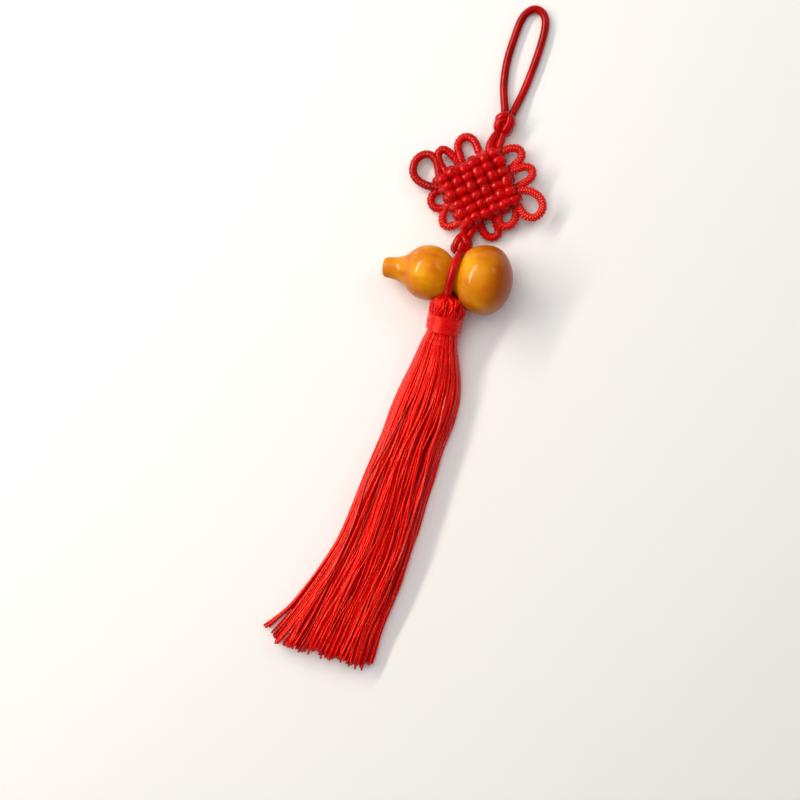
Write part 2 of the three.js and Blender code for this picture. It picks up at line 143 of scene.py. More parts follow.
# The cords of the necks, from inside the weave to inside the button knots.
NECKS = [
    [(2.6, 10.4, 4.6), (1.6, 12.6, 5), (1.05, 14.4, 4.8), (1.1, 16.2, 4.4), (1.45, 17.8, 4),
     (2.1, 19.6, 3.5), (2.6, 21.2, 3.1)],
    [(4.2, 11.8, 4.2), (4.1, 14, 4.3), (3.85, 16.2, 4.1), (3.85, 18, 3.8), (3.8, 19.8, 3.5),
     (3.6, 21.2, 3.1)],
    [(7.2, -4.6, 4.6), (6, -6, 5.2), (4.5, -7.5, 5.9), (2.9, -8.8, 6), (1.6, -10.2, 5.4), (1.9, -12, 4.4),
     (2.5, -13.8, 3.7), (2.7, -15.4, 3.2)],
    [(3.4, -6.8, 3.6), (4.5, -8.6, 3.9), (4.5, -10.4, 3.9), (4.45, -12, 3.7), (4.1, -13.6, 3.5),
     (3.7, -15.4, 3.1)],
    [(3, 11.4, 3.6), (2.5, 14, 3.7), (2.5, 16.4, 3.5), (2.7, 18.6, 3.3), (3, 21.2, 3)],
    [(2.6, -6.8, 3), (2.8, -9.4, 2.9), (3, -11.8, 2.8), (3.2, -15.2, 2.8)],
]

# The hanging loop's route, from inside the upper button knot, round its crown and back.
LOOP = [
    (2.25, 25.6, 2.9), (1.75, 27.3, 2.6), (1.0, 29.2, 2.1), (0.1, 31.4, 1.6), (-0.9, 34.3, 1.3),
    (-1.7, 37.6, 1.25), (-2.3, 41.2, 1.25), (-2.6, 45, 1.25), (-2.65, 49, 1.25), (-2.6, 52.8, 1.25),
    (-2.35, 55.8, 1.25), (-1.3, 58.5, 1.25), (0.6, 60.1, 1.25), (2.8, 59.9, 1.25), (4.6, 58.1, 1.25),
    (5.45, 55.2, 1.25), (5.8, 51.8, 1.25), (5.95, 48, 1.25), (5.95, 44, 1.25), (5.85, 40, 1.25),
    (5.65, 36, 1.25), (5.3, 32.4, 1.45), (4.9, 29.6, 1.95), (4.6, 27.3, 2.5), (4.3, 25.6, 2.8),
]

# Button knots: their middle, and from there the half width and the route of each strand in the face. The
# same strands turned half round the cord's direction are the back of the knot.
BUTTONS = {
    "upper_button_knot": {
        "middle": (3.15, 22.95, 2.95),
        "strands": [
            (1.35, [(-0.5, -3.1, 0.3), (-1.5, -2.4, 1.2), (-1.95, -1.3, 1.6), (-1.8, -0.2, 1.75),
                    (-1, 0.8, 1.6), (0, 1.6, 0.9)]),
            (1.3, [(-2.5, 0.1, 0.5), (-2.3, 0.9, 1.2), (-1.5, 1.8, 1.7), (-0.4, 2.6, 1.4),
                   (0.3, 3.1, 0.5)]),
            (1.8, [(0.3, 3, 0.8), (1.3, 2.2, 1.4), (1.7, 0.8, 1.7), (1.6, -0.7, 1.7), (1.2, -2.1, 1.3),
                   (0.3, -3.1, 0.5)]),
        ],
    },
    "lower_button_knot": {
        "middle": (3.05, -17.05, 2.95),
        "strands": [
            (1.25, [(-0.4, 3, 0.4), (-1.3, 2.4, 1.2), (-1.85, 1.1, 1.6), (-2, -0.4, 1.6), (-1.5, -1.9, 1.2),
                    (-0.5, -3.1, 0.6)]),
            (1.3, [(-0.8, 3, 0.5), (0, 2.2, 1.6), (1.1, 1.2, 2), (2, 0, 1.6), (2.2, -1.4, 0.9),
                   (1.5, -2.7, 0.1)]),
            (1.7, [(-0.3, 1.9, 0.9), (-0.1, 0.6, 1.5), (0.1, -0.8, 1.55), (0.2, -2.2, 1.1),
                   (0.2, -3.2, 0.3)]),
        ],
    },
}
BUTTON = {"tall": 1.15, "core": (2.3, 2.7, 2.2), "cap": 1.45, "rings": 24, "sides": 32}

# The gourd's profile: distance from its stem end along the axis, and radius.
GOURD_PROFILE = np.array([
    (0, 0.4), (0.05, 2.1), (0.25, 2.6), (0.9, 3.05), (2.5, 3.3), (5, 3.7), (7, 4.7), (8.8, 6.4), (10.6, 7.7),
    (12.4, 8.3), (14.4, 8.5), (16.5, 8.2), (18.4, 7.4), (19.7, 6.5), (20.7, 5.6), (22, 4.9), (23.3, 5.5),
    (24.3, 6.6), (25.4, 8.2), (27, 9.5), (29.4, 10.4), (32.4, 10.7), (35.3, 9.9), (37.4, 8.2), (39, 5.7),
    (40, 2.8), (40.3, 0.3),
])
GOURD = {"stem": (-17.92, -31.45, 6.55), "turn": math.radians(11), "rise": math.radians(6.9), "waist": 21.8}
GOURD_STEP = 0.28
GOURD_SIDES = 128

# The two legs that tie the gourd: how far off its axis they run, the degrees round its waist of the one over
# and the one under it, and how far the one over drifts along it. Then where they start and end.
TIE = {
    "radius": 6.8, "over": (-5, 22, 45, 68, 90, 112, 134, 152), "under": (-58, -78, -98, -118, -138),
    "drift": (1.5, 1.35, 1.0, 0.6, 0.25, 0, -0.2, -0.4), "below_button": 3.2, "into_head": 2.4, "wide": 1.12,
}

# The folded head: distance from its top along its axis, and radius, from inside the cord's hole outwards.
HEAD_PROFILE = np.array([
    (2.4, 1.2), (1.2, 1.35), (0.35, 1.9), (0, 2.9), (0.2, 4.2), (0.9, 5.1), (2.2, 5.5), (3.8, 5.6), (5, 5.5),
    (5.6, 5.35), (6.3, 4.8),
])
# The core's low tone is painted shade in the gaps between the head's yarns.
HEAD = {
    "top": (4.55, -33.55, 9.3), "end": (6.15, -45.4, 5.75), "yarns": 112, "step": 0.3, "clear": 0.3,
    "yarns_under": 0.2, "core_under": 0.4, "core_least": 0.6, "core_sides": 72, "core_painted_shade": 0.3,
    "tones": (0, 0.85), "upright_at": 3, "fold": 0.25, "settles": 7, "wave": 7, "seed": 4,
}
# How much the head's yarns differ from each other: in place and in lean, in the size and the start of their
# wave, in depth, and in how low they fold.
HEAD_SPREADS = (0.03, 0.04, 0.05, 2, 0.12, 0.3)
BINDING = {
    "from": 5.6, "to": 11.1, "inner": 4.6, "outer": 5.42, "crown": 0.1, "turns": 17, "relief": 0.09,
    "edge": 0.4, "uneven": 0.03, "rings": 7, "sides": 168,
}

# The skirt's sections: left and right edge, height, lift off the table, how far its sides have settled
# down on it, and how evenly the yarns spread across it (1 is even, less leaves the left side sparser).
SKIRT = np.array([
    (-48.5, 0.5, 12.5, 10.2, 0.4, 0.15, 1.0),
    (-52, 0.1, 14.3, 10.0, 0.1, 0.4, 1.0),
    (-57, -0.4, 16.6, 9.8, 0, 0.7, 1.0),
    (-63, -1.2, 18.4, 9.4, 0, 1, 1.0),
    (-70, -1.8, 19.0, 9.2, 0, 1, 1.0),
    (-80, -2.0, 18.5, 9.0, 0, 1, 1.0),
    (-92, -2.8, 18.9, 8.7, 0, 1, 1.0),
    (-104, -3.5, 19.5, 8.4, 0, 1, 0.98),
    (-116, -4.6, 19.7, 8.1, 0, 1, 0.95),
    (-124, -6.6, 19.3, 7.8, 0, 1, 0.9),
    (-132, -9.2, 18.8, 7.4, 0, 1, 0.86),
    (-140, -12.3, 18.5, 7.0, 0, 1, 0.8),
    (-149.2, -17.6, 19.4, 6.4, 0, 1, 0.74),
])
# The line of the cut tips: x, and how far down they reach.
TIPS = np.array([
    (-17, -148.7), (-14, -150.5), (-11, -152.3), (-8, -152.6), (-3, -151.8), (0, -150.5), (3, -150),
    (5.5, -151.8), (8, -150.3), (10, -151.3), (13, -151), (16, -150), (19, -149),
])
# At the skirt's lower left the yarns part: shares of the width where a parting is, and how far each bunch has
# drawn together, growing between two distances down.
PARTINGS = {"edges": (0, 0.05, 0.15), "tight": 0.5, "from_to": (122, 149)}
# The skirt's yarns: sides and rows of their skins, the layer where the upper piece starts, the half width of
# the bundle in the head, how thin they are there, and where they run in it along its axis and down the
# layout. Then how far down they are loose, and over what length they thicken and begin to stray.
YARN = {
    "sides": 6, "rows": 64, "upper_from": 7, "root": 4.7, "at_root": 0.75, "root_at": (9.6, 11.6),
    "root_down": (42.6, 44.6), "loose_from": 46, "thickens": 16, "strays": 26, "seed": 11,
}
# The locks that they gather in: how many across, how far yarns are pulled to their middle, all the way down
# and more at the low left, how far a lock wanders sideways and over what length, and how much it bulges.
LOCKS = {
    "count": 8, "pull": 0.45, "low_pull": 0.45, "low_from": 70, "low_over": 25, "wander": 0.3,
    "wander_run": 19, "bulge": 0.2,
}
# Their cut tips: how deep the scallops between the locks are, the spread of the cut, how much higher the
# lowest layers are cut, and the rows that fray and the spreads of that across and up.
CUT = {"scallop": 0.6, "spread": 0.25, "step": 1.2, "fray_rows": 8, "fray": (0.32, 0.35)}
# Their own waves: size and the shortest and longest period, two across and one up.
WAVES = {"across": ((0.35, 50, 90), (0.2, 18, 34)), "up": (0.2, 30, 70)}
# The yarns that drift over their neighbours: their share in the top layers and below, how far, where that
# starts and the length that it takes, and how high they lie after it and rise on the way.
CROSSING = {
    "share": (0.55, 0.2), "drift": (0.8, 4.5), "begin": (5, 75), "length": 36, "over": 0.35, "hump": 0.5,
}
YARN_TONES = {"middle": 0.58, "spread": 0.34, "lock": 0.1}

# The photograph's frame: its width in pixels, one pixel on the table, and the layout point at its middle.
PHOTO = {"pixels": 800, "mm": 0.31, "tilt": math.radians(19), "middle": (0.38, -68.7, 4.0)}
TABLE_HALF = 1.5
# The lights' places and sizes in metres. The glint gives only shine, and the soft light gives none.
LIGHTS = {
    "key": {"at": (-0.53, 0.08, 0.43), "size": (0.8, 0.05), "colour": "#FFF6EA"},
    "glint": {"at": (-0.53, 0.08, 0.43), "size": (0.5, 0.1), "colour": "#FFF6EA"},
    "soft": {"at": (-0.3, 0.16, 0.93), "size": (0.8, 0.8), "colour": "#FFFDF8"},
    "edge": {"at": (0.35, 0.57, 0.6), "size": (0.32, 0.2), "colour": "#FFFFFF"},
}

# How the two rayon materials differ: millimetres of one turn of the ply, plies, roughness, and the size of
# the streaks along x, y and z.
YARN_FINISH = {"ply_run": 1.5, "plies": 2, "roughness": 0.21, "patches": (0.42, 12, 0.42)}
THREAD_FINISH = {"ply_run": 0.32, "plies": 0, "roughness": 0.27, "patches": (6, 0.4, 6)}


def linear(hex_colour):
    """An sRGB hex colour as linear red, green and blue, with an alpha of one."""
    srgb = np.array([int(hex_colour[i : i + 2], 16) for i in (1, 3, 5)]) / 255
    rgb = np.where(srgb <= 0.04045, srgb / 12.92, ((srgb + 0.055) / 1.055) ** 2.4)
    return (*rgb.tolist(), 1.0)


def in_frame(points):
    """Layout millimetres as the frame's metres."""
    return (points - LAYOUT_ORIGIN) * MM


def unit(vectors):
    return vectors / np.linalg.norm(vectors, axis=-1, keepdims=True)


def spline(knots, values, at):
    """Values between knots, by cubic spans whose slope at a knot is the mean of the slopes on its sides."""
    gaps = np.diff(knots)
    slope = np.diff(values, axis=0) / gaps[:, None]
    tangent = np.vstack([slope[:1], (slope[1:] + slope[:-1]) / 2, slope[-1:]])
    k = np.clip(np.searchsorted(knots, at, side="right") - 1, 0, len(gaps) - 1)
    h = gaps[k][:, None]
    t = (at[:, None] - knots[k][:, None]) / h
    start = (1 + 2 * t) * (1 - t) ** 2 * values[k] + t * (1 - t) ** 2 * h * tangent[k]
    end = t * t * (3 - 2 * t) * values[k + 1] - t * t * (1 - t) * h * tangent[k + 1]
    return start + end


def through(points, step, closed=False):
    """A smooth route through points, cut at equal steps: cubic spans over the square roots of their gaps."""
    points = np.asarray(points, float)
    if closed:
        points = np.vstack([points[-3:], points, points[:4]])
    knots = np.concatenate([[0], np.cumsum(np.linalg.norm(np.diff(points, axis=0), axis=1) ** 0.5)])
    first, last = (knots[3], knots[-4]) if closed else (0, knots[-1])
    curve = spline(knots, points, np.linspace(first, last, 40 * len(points)))
    run = np.concatenate([[0], np.cumsum(np.linalg.norm(np.diff(curve, axis=0), axis=1))])
    at = np.linspace(0, run[-1], max(round(run[-1] / step), 2) + 1)
    even = np.stack([np.interp(at, run, axis) for axis in curve.T], 1)
    return even[:-1] if closed else even


def end_fans(rings, along):
    """The middles of each skin's first and last rings, and the triangles and UVs that fan out from them."""
    count, rows, sides = rings.shape[:3]
    base = (np.arange(count) * rows * sides)[:, None]
    here, beside = base + np.arange(sides), base + (np.arange(sides) + 1) % sides
    middle = count * rows * sides + np.arange(2 * count)[:, None]
    to_last = (rows - 1) * sides
    first = np.stack([beside, here, np.broadcast_to(middle[:count], here.shape)], -1)
    last = np.stack([here + to_last, beside + to_last, np.broadcast_to(middle[count:], here.shape)], -1)
    fans = np.concatenate([first.reshape(-1, 3), last.reshape(-1, 3)])
    run = np.concatenate([np.repeat(along[:, 0], sides), np.repeat(along[:, -1], sides)])
    fan_uv = np.stack([np.broadcast_to(run[:, None], fans.shape), np.zeros(fans.shape)], -1)
    return np.concatenate([rings[:, 0].mean(1), rings[:, -1].mean(1)]), fans, fan_uv


def skin(rings, along, turns=1, closed=False, tone=CORD_TONE):
    """Faces over rings of points: count x rows x sides x 3, or rows x sides x 3 for a single skin.

    Quads join neighbouring rings. An open skin ends in a fan round each last ring's middle, and a closed
    one joins its last row to its first. U is millimetres run, and V goes from 0 to turns round a ring.
    The faces are turned over where the volume that they hold comes out negative.
    """
    if rings.ndim == 3:
        rings, along = rings[None], np.asarray(along)[None]
    count, rows, sides = rings.shape[:3]
    base = (np.arange(count) * rows * sides)[:, None, None]
    row = np.arange(rows if closed else rows - 1)[None, :, None]
    side = np.arange(sides)[None, None, :]
    here, after, beside = row * sides, (row + 1) % rows * sides, (side + 1) % sides
    corners = [here + side, here + beside, after + beside, after + side]
    quads = np.stack([base + corner for corner in corners], -1).reshape(-1, 4)
    u_here = np.broadcast_to(along[:, : row.size, None], (count, row.size, sides))
    u_after = np.broadcast_to(along[:, 1 : row.size + 1, None], (count, row.size, sides))
    v_side = np.broadcast_to(side / sides * turns, u_here.shape)
    v_beside = np.broadcast_to((side + 1) / sides * turns, u_here.shape)
    corner_uv = [(u_here, v_side), (u_here, v_beside), (u_after, v_beside), (u_after, v_side)]
    quad_uv = np.stack([np.stack(pair, -1) for pair in corner_uv], -2).reshape(-1, 4, 2)
    points = rings.reshape(-1, 3)
    fans, fan_uv = np.empty((0, 3), int), np.empty((0, 3, 2))
    tones = np.repeat(np.broadcast_to(tone, count).astype(float), rows * sides)
    if not closed:
        middles, fans, fan_uv = end_fans(rings, along)
        points = np.concatenate([points, middles])
        tones = np.concatenate([tones, np.broadcast_to(tone, count), np.broadcast_to(tone, count)])
    triangles = points[np.concatenate([quads[:, :3], quads[:, [0, 2, 3]], fans])]
    volume = np.einsum("ij,ij->", triangles[:, 0], np.cross(triangles[:, 1], triangles[:, 2]))
    if volume < 0:
        quads, quad_uv, fans, fan_uv = quads[:, ::-1], quad_uv[:, ::-1], fans[:, ::-1], fan_uv[:, ::-1]
    return {
        "points": points, "quads": quads, "quad_uv": quad_uv, "fans": fans, "fan_uv": fan_uv, "tone": tones,
    }


def above_table(skins):
    """The skins, with what would sink into the table pressed flat on it."""
    for part in skins:
        part["points"][:, 2] = part["points"][:, 2].clip(0)
    return skins


def add_piece(name, skins, material, slot, *nodes):
    """One object from several skins. It rides on the root, and stands for the named CAD nodes."""
    starts = np.cumsum([0] + [len(s["points"]) for s in skins[:-1]])
    quads = np.concatenate([s["quads"] + start for s, start in zip(skins, starts)])
    fans = np.concatenate([s["fans"] + start for s, start in zip(skins, starts)])
    uv = np.concatenate([s[key].reshape(-1, 2) for key in ("quad_uv", "fan_uv") for s in skins])
    points = in_frame(np.concatenate([s["points"] for s in skins]))
    corners = np.concatenate([quads.ravel(), fans.ravel()]).astype(np.int32)
    sizes = np.concatenate([np.full(len(quads), 4), np.full(len(fans), 3)])
    mesh = bpy.data.meshes.new(name)
    mesh.vertices.add(len(points))
    mesh.vertices.foreach_set("co", points.astype(np.float32).ravel())
    mesh.loops.add(len(corners))
    mesh.loops.foreach_set("vertex_index", corners)
    mesh.polygons.add(len(sizes))
    mesh.polygons.foreach_set("loop_start", (np.cumsum(sizes) - sizes).astype(np.int32))
    mesh.uv_layers.new(name="run").data.foreach_set("uv", uv.astype(np.float32).ravel())
    tones = mesh.attributes.new("tone", "FLOAT", "POINT")
    tones.data.foreach_set("value", np.concatenate([s["tone"] for s in skins]).astype(np.float32))
    mesh.update(calc_edges=True)
    if mesh.validate():
        raise RuntimeError(f"{name}: the mesh had faults")
    mesh.shade_smooth()
    mesh.materials.append(material)
    piece = bpy.data.objects.new(name, mesh)
    bpy.context.scene.collection.objects.link(piece)
    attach(piece, "root")
    if nodes:
        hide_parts(*nodes)
    return piece


def cord_skin(route, reference, wide, tall=None, relief=0.0, closed=False, pitch=RIB_PITCH, tone=CORD_TONE):
    """The skin of a braided cord along a route.

    Each ring's point is route + wide cos(a) side + tall sin(a) up, where side is square to the reference
    direction and to the route. Both half sizes are scaled by 1 + relief x cos(2 pi run / pitch + zigzag),
    the zigzag being 2 cos(4 a), so that the ribs run round the cord as herringbone. Open ends are rounded.
    """
    if closed:
        tangent = unit(np.roll(route, -1, 0) - np.roll(route, 1, 0))
        steps = np.linalg.norm(np.roll(route, -1, 0) - route, axis=1)
    else:
        tangent = unit(np.gradient(route, axis=0))
        steps = np.linalg.norm(np.diff(route, axis=0), axis=1)
    run = np.concatenate([[0], np.cumsum(steps)])
    side = unit(np.cross(reference, tangent))
    up = np.cross(tangent, side)
    tall = wide if tall is None else tall
    wide, tall = (np.broadcast_to(half, len(route))[:, None] for half in (wide, tall))
    angle = np.arange(CORD_SIDES) * 2 * np.pi / CORD_SIDES
    rib_run = run[: len(route), None] * (2 * np.pi / pitch)
    if closed:
        rib_run = rib_run * (round(run[-1] / pitch) * pitch / run[-1])
    scale = 1 + relief * np.cos(rib_run + 2 * np.cos(BRAID_ROWS * angle))
    if not closed:
        from_end = np.clip(np.minimum(run, run[-1] - run)[:, None] / wide, 0, 1)
        scale = scale * np.sqrt(1 - (1 - from_end) ** 2).clip(END_RING)
    sideways = (wide * np.cos(angle))[..., None] * side[:, None]
    upwards = (tall * np.sin(angle))[..., None] * up[:, None]
    return skin(route[:, None] + scale[..., None] * (sideways + upwards), run, closed=closed, tone=tone)


def weave_point(across, down):
    """A place in the weave: across counts lines from the top corner to the right, down counts to the left."""
    u, v = (np.asarray(lines, float)[..., None] / (LINES - 1) for lines in (across, down))
    top, right, left, bottom = (np.array(WEAVE_CORNERS[key]) for key in ("top", "right", "left", "bottom"))
    return (1 - u) * (1 - v) * top + u * (1 - v) * right + (1 - u) * v * left + u * v * bottom


def weave_line(line, family, uneven):
    """One closed cord of the weave: over and under the other family on the front, round and back behind.

    Its height is the middle plus or minus the pair's distance, plus rise x held cos(pi (line + cell)) kept
    within the rise, which is highest on every other crossing. Family 1 has the opposite sign, so the two pass
    over each other. The fourth column is the cord's size there, which swells into a bead on each crossing
    that lies outside.
    """
    last = LINES - 1
    cells = np.linspace(0, last, last * CELL_STEPS + 1)
    sign = 1 if family == 0 else -1
    wave = sign * WEAVE["rise"] * np.clip(WEAVE["held"] * np.cos(np.pi * (line + cells)), -1, 1)
    turn, bend = np.array(WEAVE["turn"]), WEAVE["pair"] * np.array(WEAVE["bend"])
    reach = np.concatenate([cells, last + turn, cells[::-1], -turn])
    height = np.concatenate([WEAVE["pair"] + wave, bend, (wave - WEAVE["pair"])[::-1], -bend])
    fixed = np.full(len(reach), float(line))
    across, down = (fixed, reach) if family == 0 else (reach, fixed)
    off = (np.stack([across, down]) - last / 2) / (LINES / 2)
    drop = 1 - WEAVE["corner_drop"] * np.clip((off**4).sum(0), 0, WEAVE["corner_most"])
    plan = weave_point(across, down) + uneven[:, :2]
    height = WEAVE["middle"] + height * drop + uneven[:, 2]
    bead = WEAVE["swell"] / WEAVE["rise"] * np.concatenate([wave, np.zeros(3), -wave[::-1], np.zeros(3)])
    return through(np.column_stack([plan, height, 1 + bead]), CORD_STEP, closed=True)


def woven_knot():
    """Six lines crossing six, each line's frame kept square to the level line that crosses it."""
    random = np.random.default_rng(WEAVE["seed"])
    last = LINES - 1
    skins = []
    for family in (0, 1):
        for line in range(LINES):
            uneven = np.repeat(random.normal(0, 1, (2 * LINES, 3)), CELL_STEPS, axis=0) * WEAVE["uneven"]
            route, size = np.split(weave_line(line, family, uneven), [3], axis=1)
            start, end = ((line, 0), (line, last)) if family == 0 else ((0, line), (last, line))
            level = weave_point(*end) - weave_point(*start)
            across = np.array([-level[1], level[0], 0.0])
            tangent = unit(np.roll(route, -1, 0) - np.roll(route, 1, 0))
            reference = np.cross(tangent, unit(across))
            wide, tall = WEAVE["wide"][family] * size[:, 0], WEAVE["tall"] * size[:, 0]
            skins.append(cord_skin(route, reference, wide, tall, relief=RELIEF["weave"], closed=True))
    return above_table(skins)


def ear_route(ear):
    """An ear's centre line. Its height goes from one root's to the other's by way of the tip's."""
    line = np.array(ear["line"], float)
    t = np.linspace(0, 1, len(line))
    between = ear["from_z"] + (ear["to_z"] - ear["from_z"]) * t
    dip = np.sin(np.pi * t)
    return through(np.column_stack([line, between + (ear["tip_z"] - between) * dip]), CORD_STEP)


def button_knot(middle, strands):
    """The strands of a button knot, front and back, round an egg-shaped core that fills the gaps between."""
    skins = []
    for wide, strand in strands:
        for turned in (1, -1):
            route = through(np.array(strand) * (turned, 1, turned), CORD_STEP)
            skins.append(cord_skin(route + middle, route, wide, BUTTON["tall"], relief=RELIEF["button"]))
    cap = BUTTON["cap"]
    latitude = np.linspace(-cap, cap, BUTTON["rings"])[:, None]
    longitude = np.linspace(0, 2 * np.pi, BUTTON["sides"], endpoint=False)[None, :]
    radius, height = np.cos(latitude), np.sin(latitude) + 0 * longitude
    egg = np.stack([radius * np.cos(longitude), height, radius * np.sin(longitude)], -1)
    skins.append(skin(egg * BUTTON["core"] + middle, (latitude[:, 0] + cap) * BUTTON["core"][1]))
    return above_table(skins)


def gourd_axes():
    """The gourd's axis from its stem end, and the level and upward directions square to it."""
    turn, rise = GOURD["turn"], GOURD["rise"]
    axis = np.array([math.cos(rise) * math.cos(turn), math.cos(rise) * math.sin(turn), math.sin(rise)])
    level = np.array([-math.sin(turn), math.cos(turn), 0.0])
    return axis, level, np.cross(axis, level)


def round_gourd(s, radius, angle):
    """Points round the gourd: s along its axis and radius off it, at an angle up from its loop side."""
    axis, level, up = gourd_axes()
    s, radius, angle = (np.asarray(value, float)[..., None] for value in (s, radius, angle))
    return np.array(GOURD["stem"]) + s * axis + radius * (np.cos(angle) * level + np.sin(angle) * up)


def clear_of_gourd(points, gap):
    """Points that lie in the gourd, or nearer than the gap, moved straight off its axis."""
    axis = gourd_axes()[0]
    offset = points - np.array(GOURD["stem"])
    s = offset @ axis
    off = offset - s[..., None] * axis
    distance = np.linalg.norm(off, axis=-1)
    radius = np.interp(s, GOURD_PROFILE[:, 0], GOURD_PROFILE[:, 1], left=0, right=0)
    push = np.where(radius > 0, np.clip((radius + gap - distance) / distance, 0, None), 0)
    return points + off * push[..., None]


def gourd_skin():
    """The gourd's profile turned round its axis, with a small flat where each lobe rests on the table."""
    profile = through(GOURD_PROFILE, GOURD_STEP)
    angle = np.linspace(0, 2 * np.pi, GOURD_SIDES, endpoint=False)
    rings = round_gourd(profile[:, :1], profile[:, 1:], angle[None, :])
    rings[..., 2] = rings[..., 2].clip(0)
    return skin(rings, profile[:, 0])


def tie_routes():
    """The two legs of the tie: from the lower button over and under the gourd's waist into the head."""
    x, y, _ = BUTTONS["lower_button_knot"]["middle"]
    start = y - TIE["below_button"]
    end = np.array(HEAD["top"]) - (0, TIE["into_head"], 0)
    over = round_gourd(GOURD["waist"] + np.array(TIE["drift"]), TIE["radius"], np.radians(TIE["over"]))
    under = round_gourd(GOURD["waist"], TIE["radius"], np.radians(TIE["under"]))
    return [
        np.vstack([(x, start + 1.4, 3.6), (x - 0.1, start - 0.1, 5.6), over, end + (-0.2, 0, 1.4)]),
        np.vstack([(x + 0.2, start + 1.4, 2.6), (x, start - 0.4, 2.7), under, end + (0.3, 0, -1.4)]),
    ]


def head_axes():
    """The head's top, its axis, and the directions across it and up."""
    top = np.array(HEAD["top"])
    axis = unit(np.array(HEAD["end"]) - top)
    across = -unit(np.cross(axis, UP))
    return top, axis, across, np.cross(axis, across)


def in_head(t, across, up):
    """Points of the head: t along its axis, then across it and up."""
    top, axis, side, rise = head_axes()
    t, across, up = (np.asarray(value, float)[..., None] for value in (t, across, up))
    return top + t * axis + across * side + up * rise


def head_skins(settings):
    """The yarns folded over the cord, two deep, on a plain core.

    Each comes up out of the hole, goes over the rim and down into the binding by the head's profile, a little
    nearer its top or its axis than the next, at its own angle plus a lean and a slow wave as it runs.
    """
    random = np.random.default_rng(HEAD["seed"])
    profile = through(HEAD_PROFILE, HEAD["step"])
    run = np.arange(len(profile)) * HEAD["step"]
    count = HEAD["yarns"]
    place, lean, wave, phase, depth, fold = (random.normal(0, spread, (count, 1)) for spread in HEAD_SPREADS)
    angle = np.arange(count)[:, None] * 4 * np.pi / count + place + lean * (run - HEAD["upright_at"])
    angle = angle + wave * np.sin(run * 2 * np.pi / HEAD["wave"] + phase)
    settled = np.clip(1 - run / HEAD["settles"], 0, 1)
    radius = profile[:, 1] - HEAD["yarns_under"] + depth
    t = profile[:, 0] + (HEAD["fold"] + fold) * settled
    routes = in_head(t, radius * np.cos(angle), radius * np.sin(angle))
    routes = clear_of_gourd(routes, HEAD["clear"] + settings.yarn_diameter / MM / 2)
    _, _, side, rise = head_axes()
    around = np.cos(angle)[..., None] * rise - np.sin(angle)[..., None] * side
    thick = np.full(routes.shape[:2], settings.yarn_diameter / MM / 2)
    yarns = yarn_skins(routes, thick, random.uniform(*HEAD["tones"], count), around)
    turn = np.linspace(0, 2 * np.pi, HEAD["core_sides"], endpoint=False)[None, :]
    core = np.clip(profile[:, 1:] - HEAD["core_under"], HEAD["core_least"], None)
    rings = in_head(profile[:, :1] + HEAD["core_under"], core * np.cos(turn), core * np.sin(turn))
    # The core under the yarns, in a low tone: painted shade in the gaps.
    return [yarns, skin(clear_of_gourd(rings, HEAD["clear"]), run, tone=HEAD["core_painted_shade"])]


def binding_skin():
    """The wound band: a ring whose outside has one ridge a turn, climbing by a turn in each round."""
    turns, edge_round = BINDING["turns"], BINDING["edge"]
    lowest, highest = BINDING["from"], BINDING["to"]
    pitch = (highest - lowest) / turns
    t = np.linspace(lowest, highest, turns * BINDING["rings"] + 1)[:, None]
    angle = np.linspace(0, 2 * np.pi, BINDING["sides"], endpoint=False)[None, :]
    share = (t - lowest) / (highest - lowest)
    edge = np.clip(np.minimum(t - lowest, highest - t) / edge_round, 0, 1)
    rounding = edge_round * (1 - np.sqrt(1 - (1 - edge) ** 2))
    thread = BINDING["relief"] * np.sqrt(np.abs(np.sin(np.pi * (t / pitch + angle / (2 * np.pi)))))
    uneven = BINDING["uneven"] * (np.sin(3 * angle + 9 * share) + np.sin(5 * angle - 14 * share))
    crown = BINDING["crown"] * 4 * share * (1 - share)
    outside = BINDING["outer"] + crown - rounding + edge * (thread + uneven)
    inside = np.full((2, angle.shape[1]), BINDING["inner"])
    radius = np.concatenate([outside, inside])
    t = np.concatenate([t, [[highest], [lowest]]])
    rings = in_head(np.broadcast_to(t, radius.shape), radius * np.cos(angle), radius * np.sin(angle))
    run = np.concatenate([t[:, 0] - lowest, [0]])
    return skin(rings, run, turns=2 * np.pi * BINDING["outer"], closed=True)


def yarn_places(settings):
    """Each yarn's column in the round head, from -1 to 1, and its layer, half a yarn over from the next."""
    columns, layers = settings.yarns_across, settings.yarn_layers
    layer = np.repeat(np.arange(layers), columns)
    index = np.tile(np.arange(columns), layers)
    in_row = columns - layer % 2
    column = (2 * index + 1 - in_row) / columns
    keep = (index < in_row) & (layer <= np.sqrt(np.clip(1 - column**2, 0, 1)) * (layers - 1) + 0.3)
    return column[keep].clip(-0.985, 0.985), layer[keep]


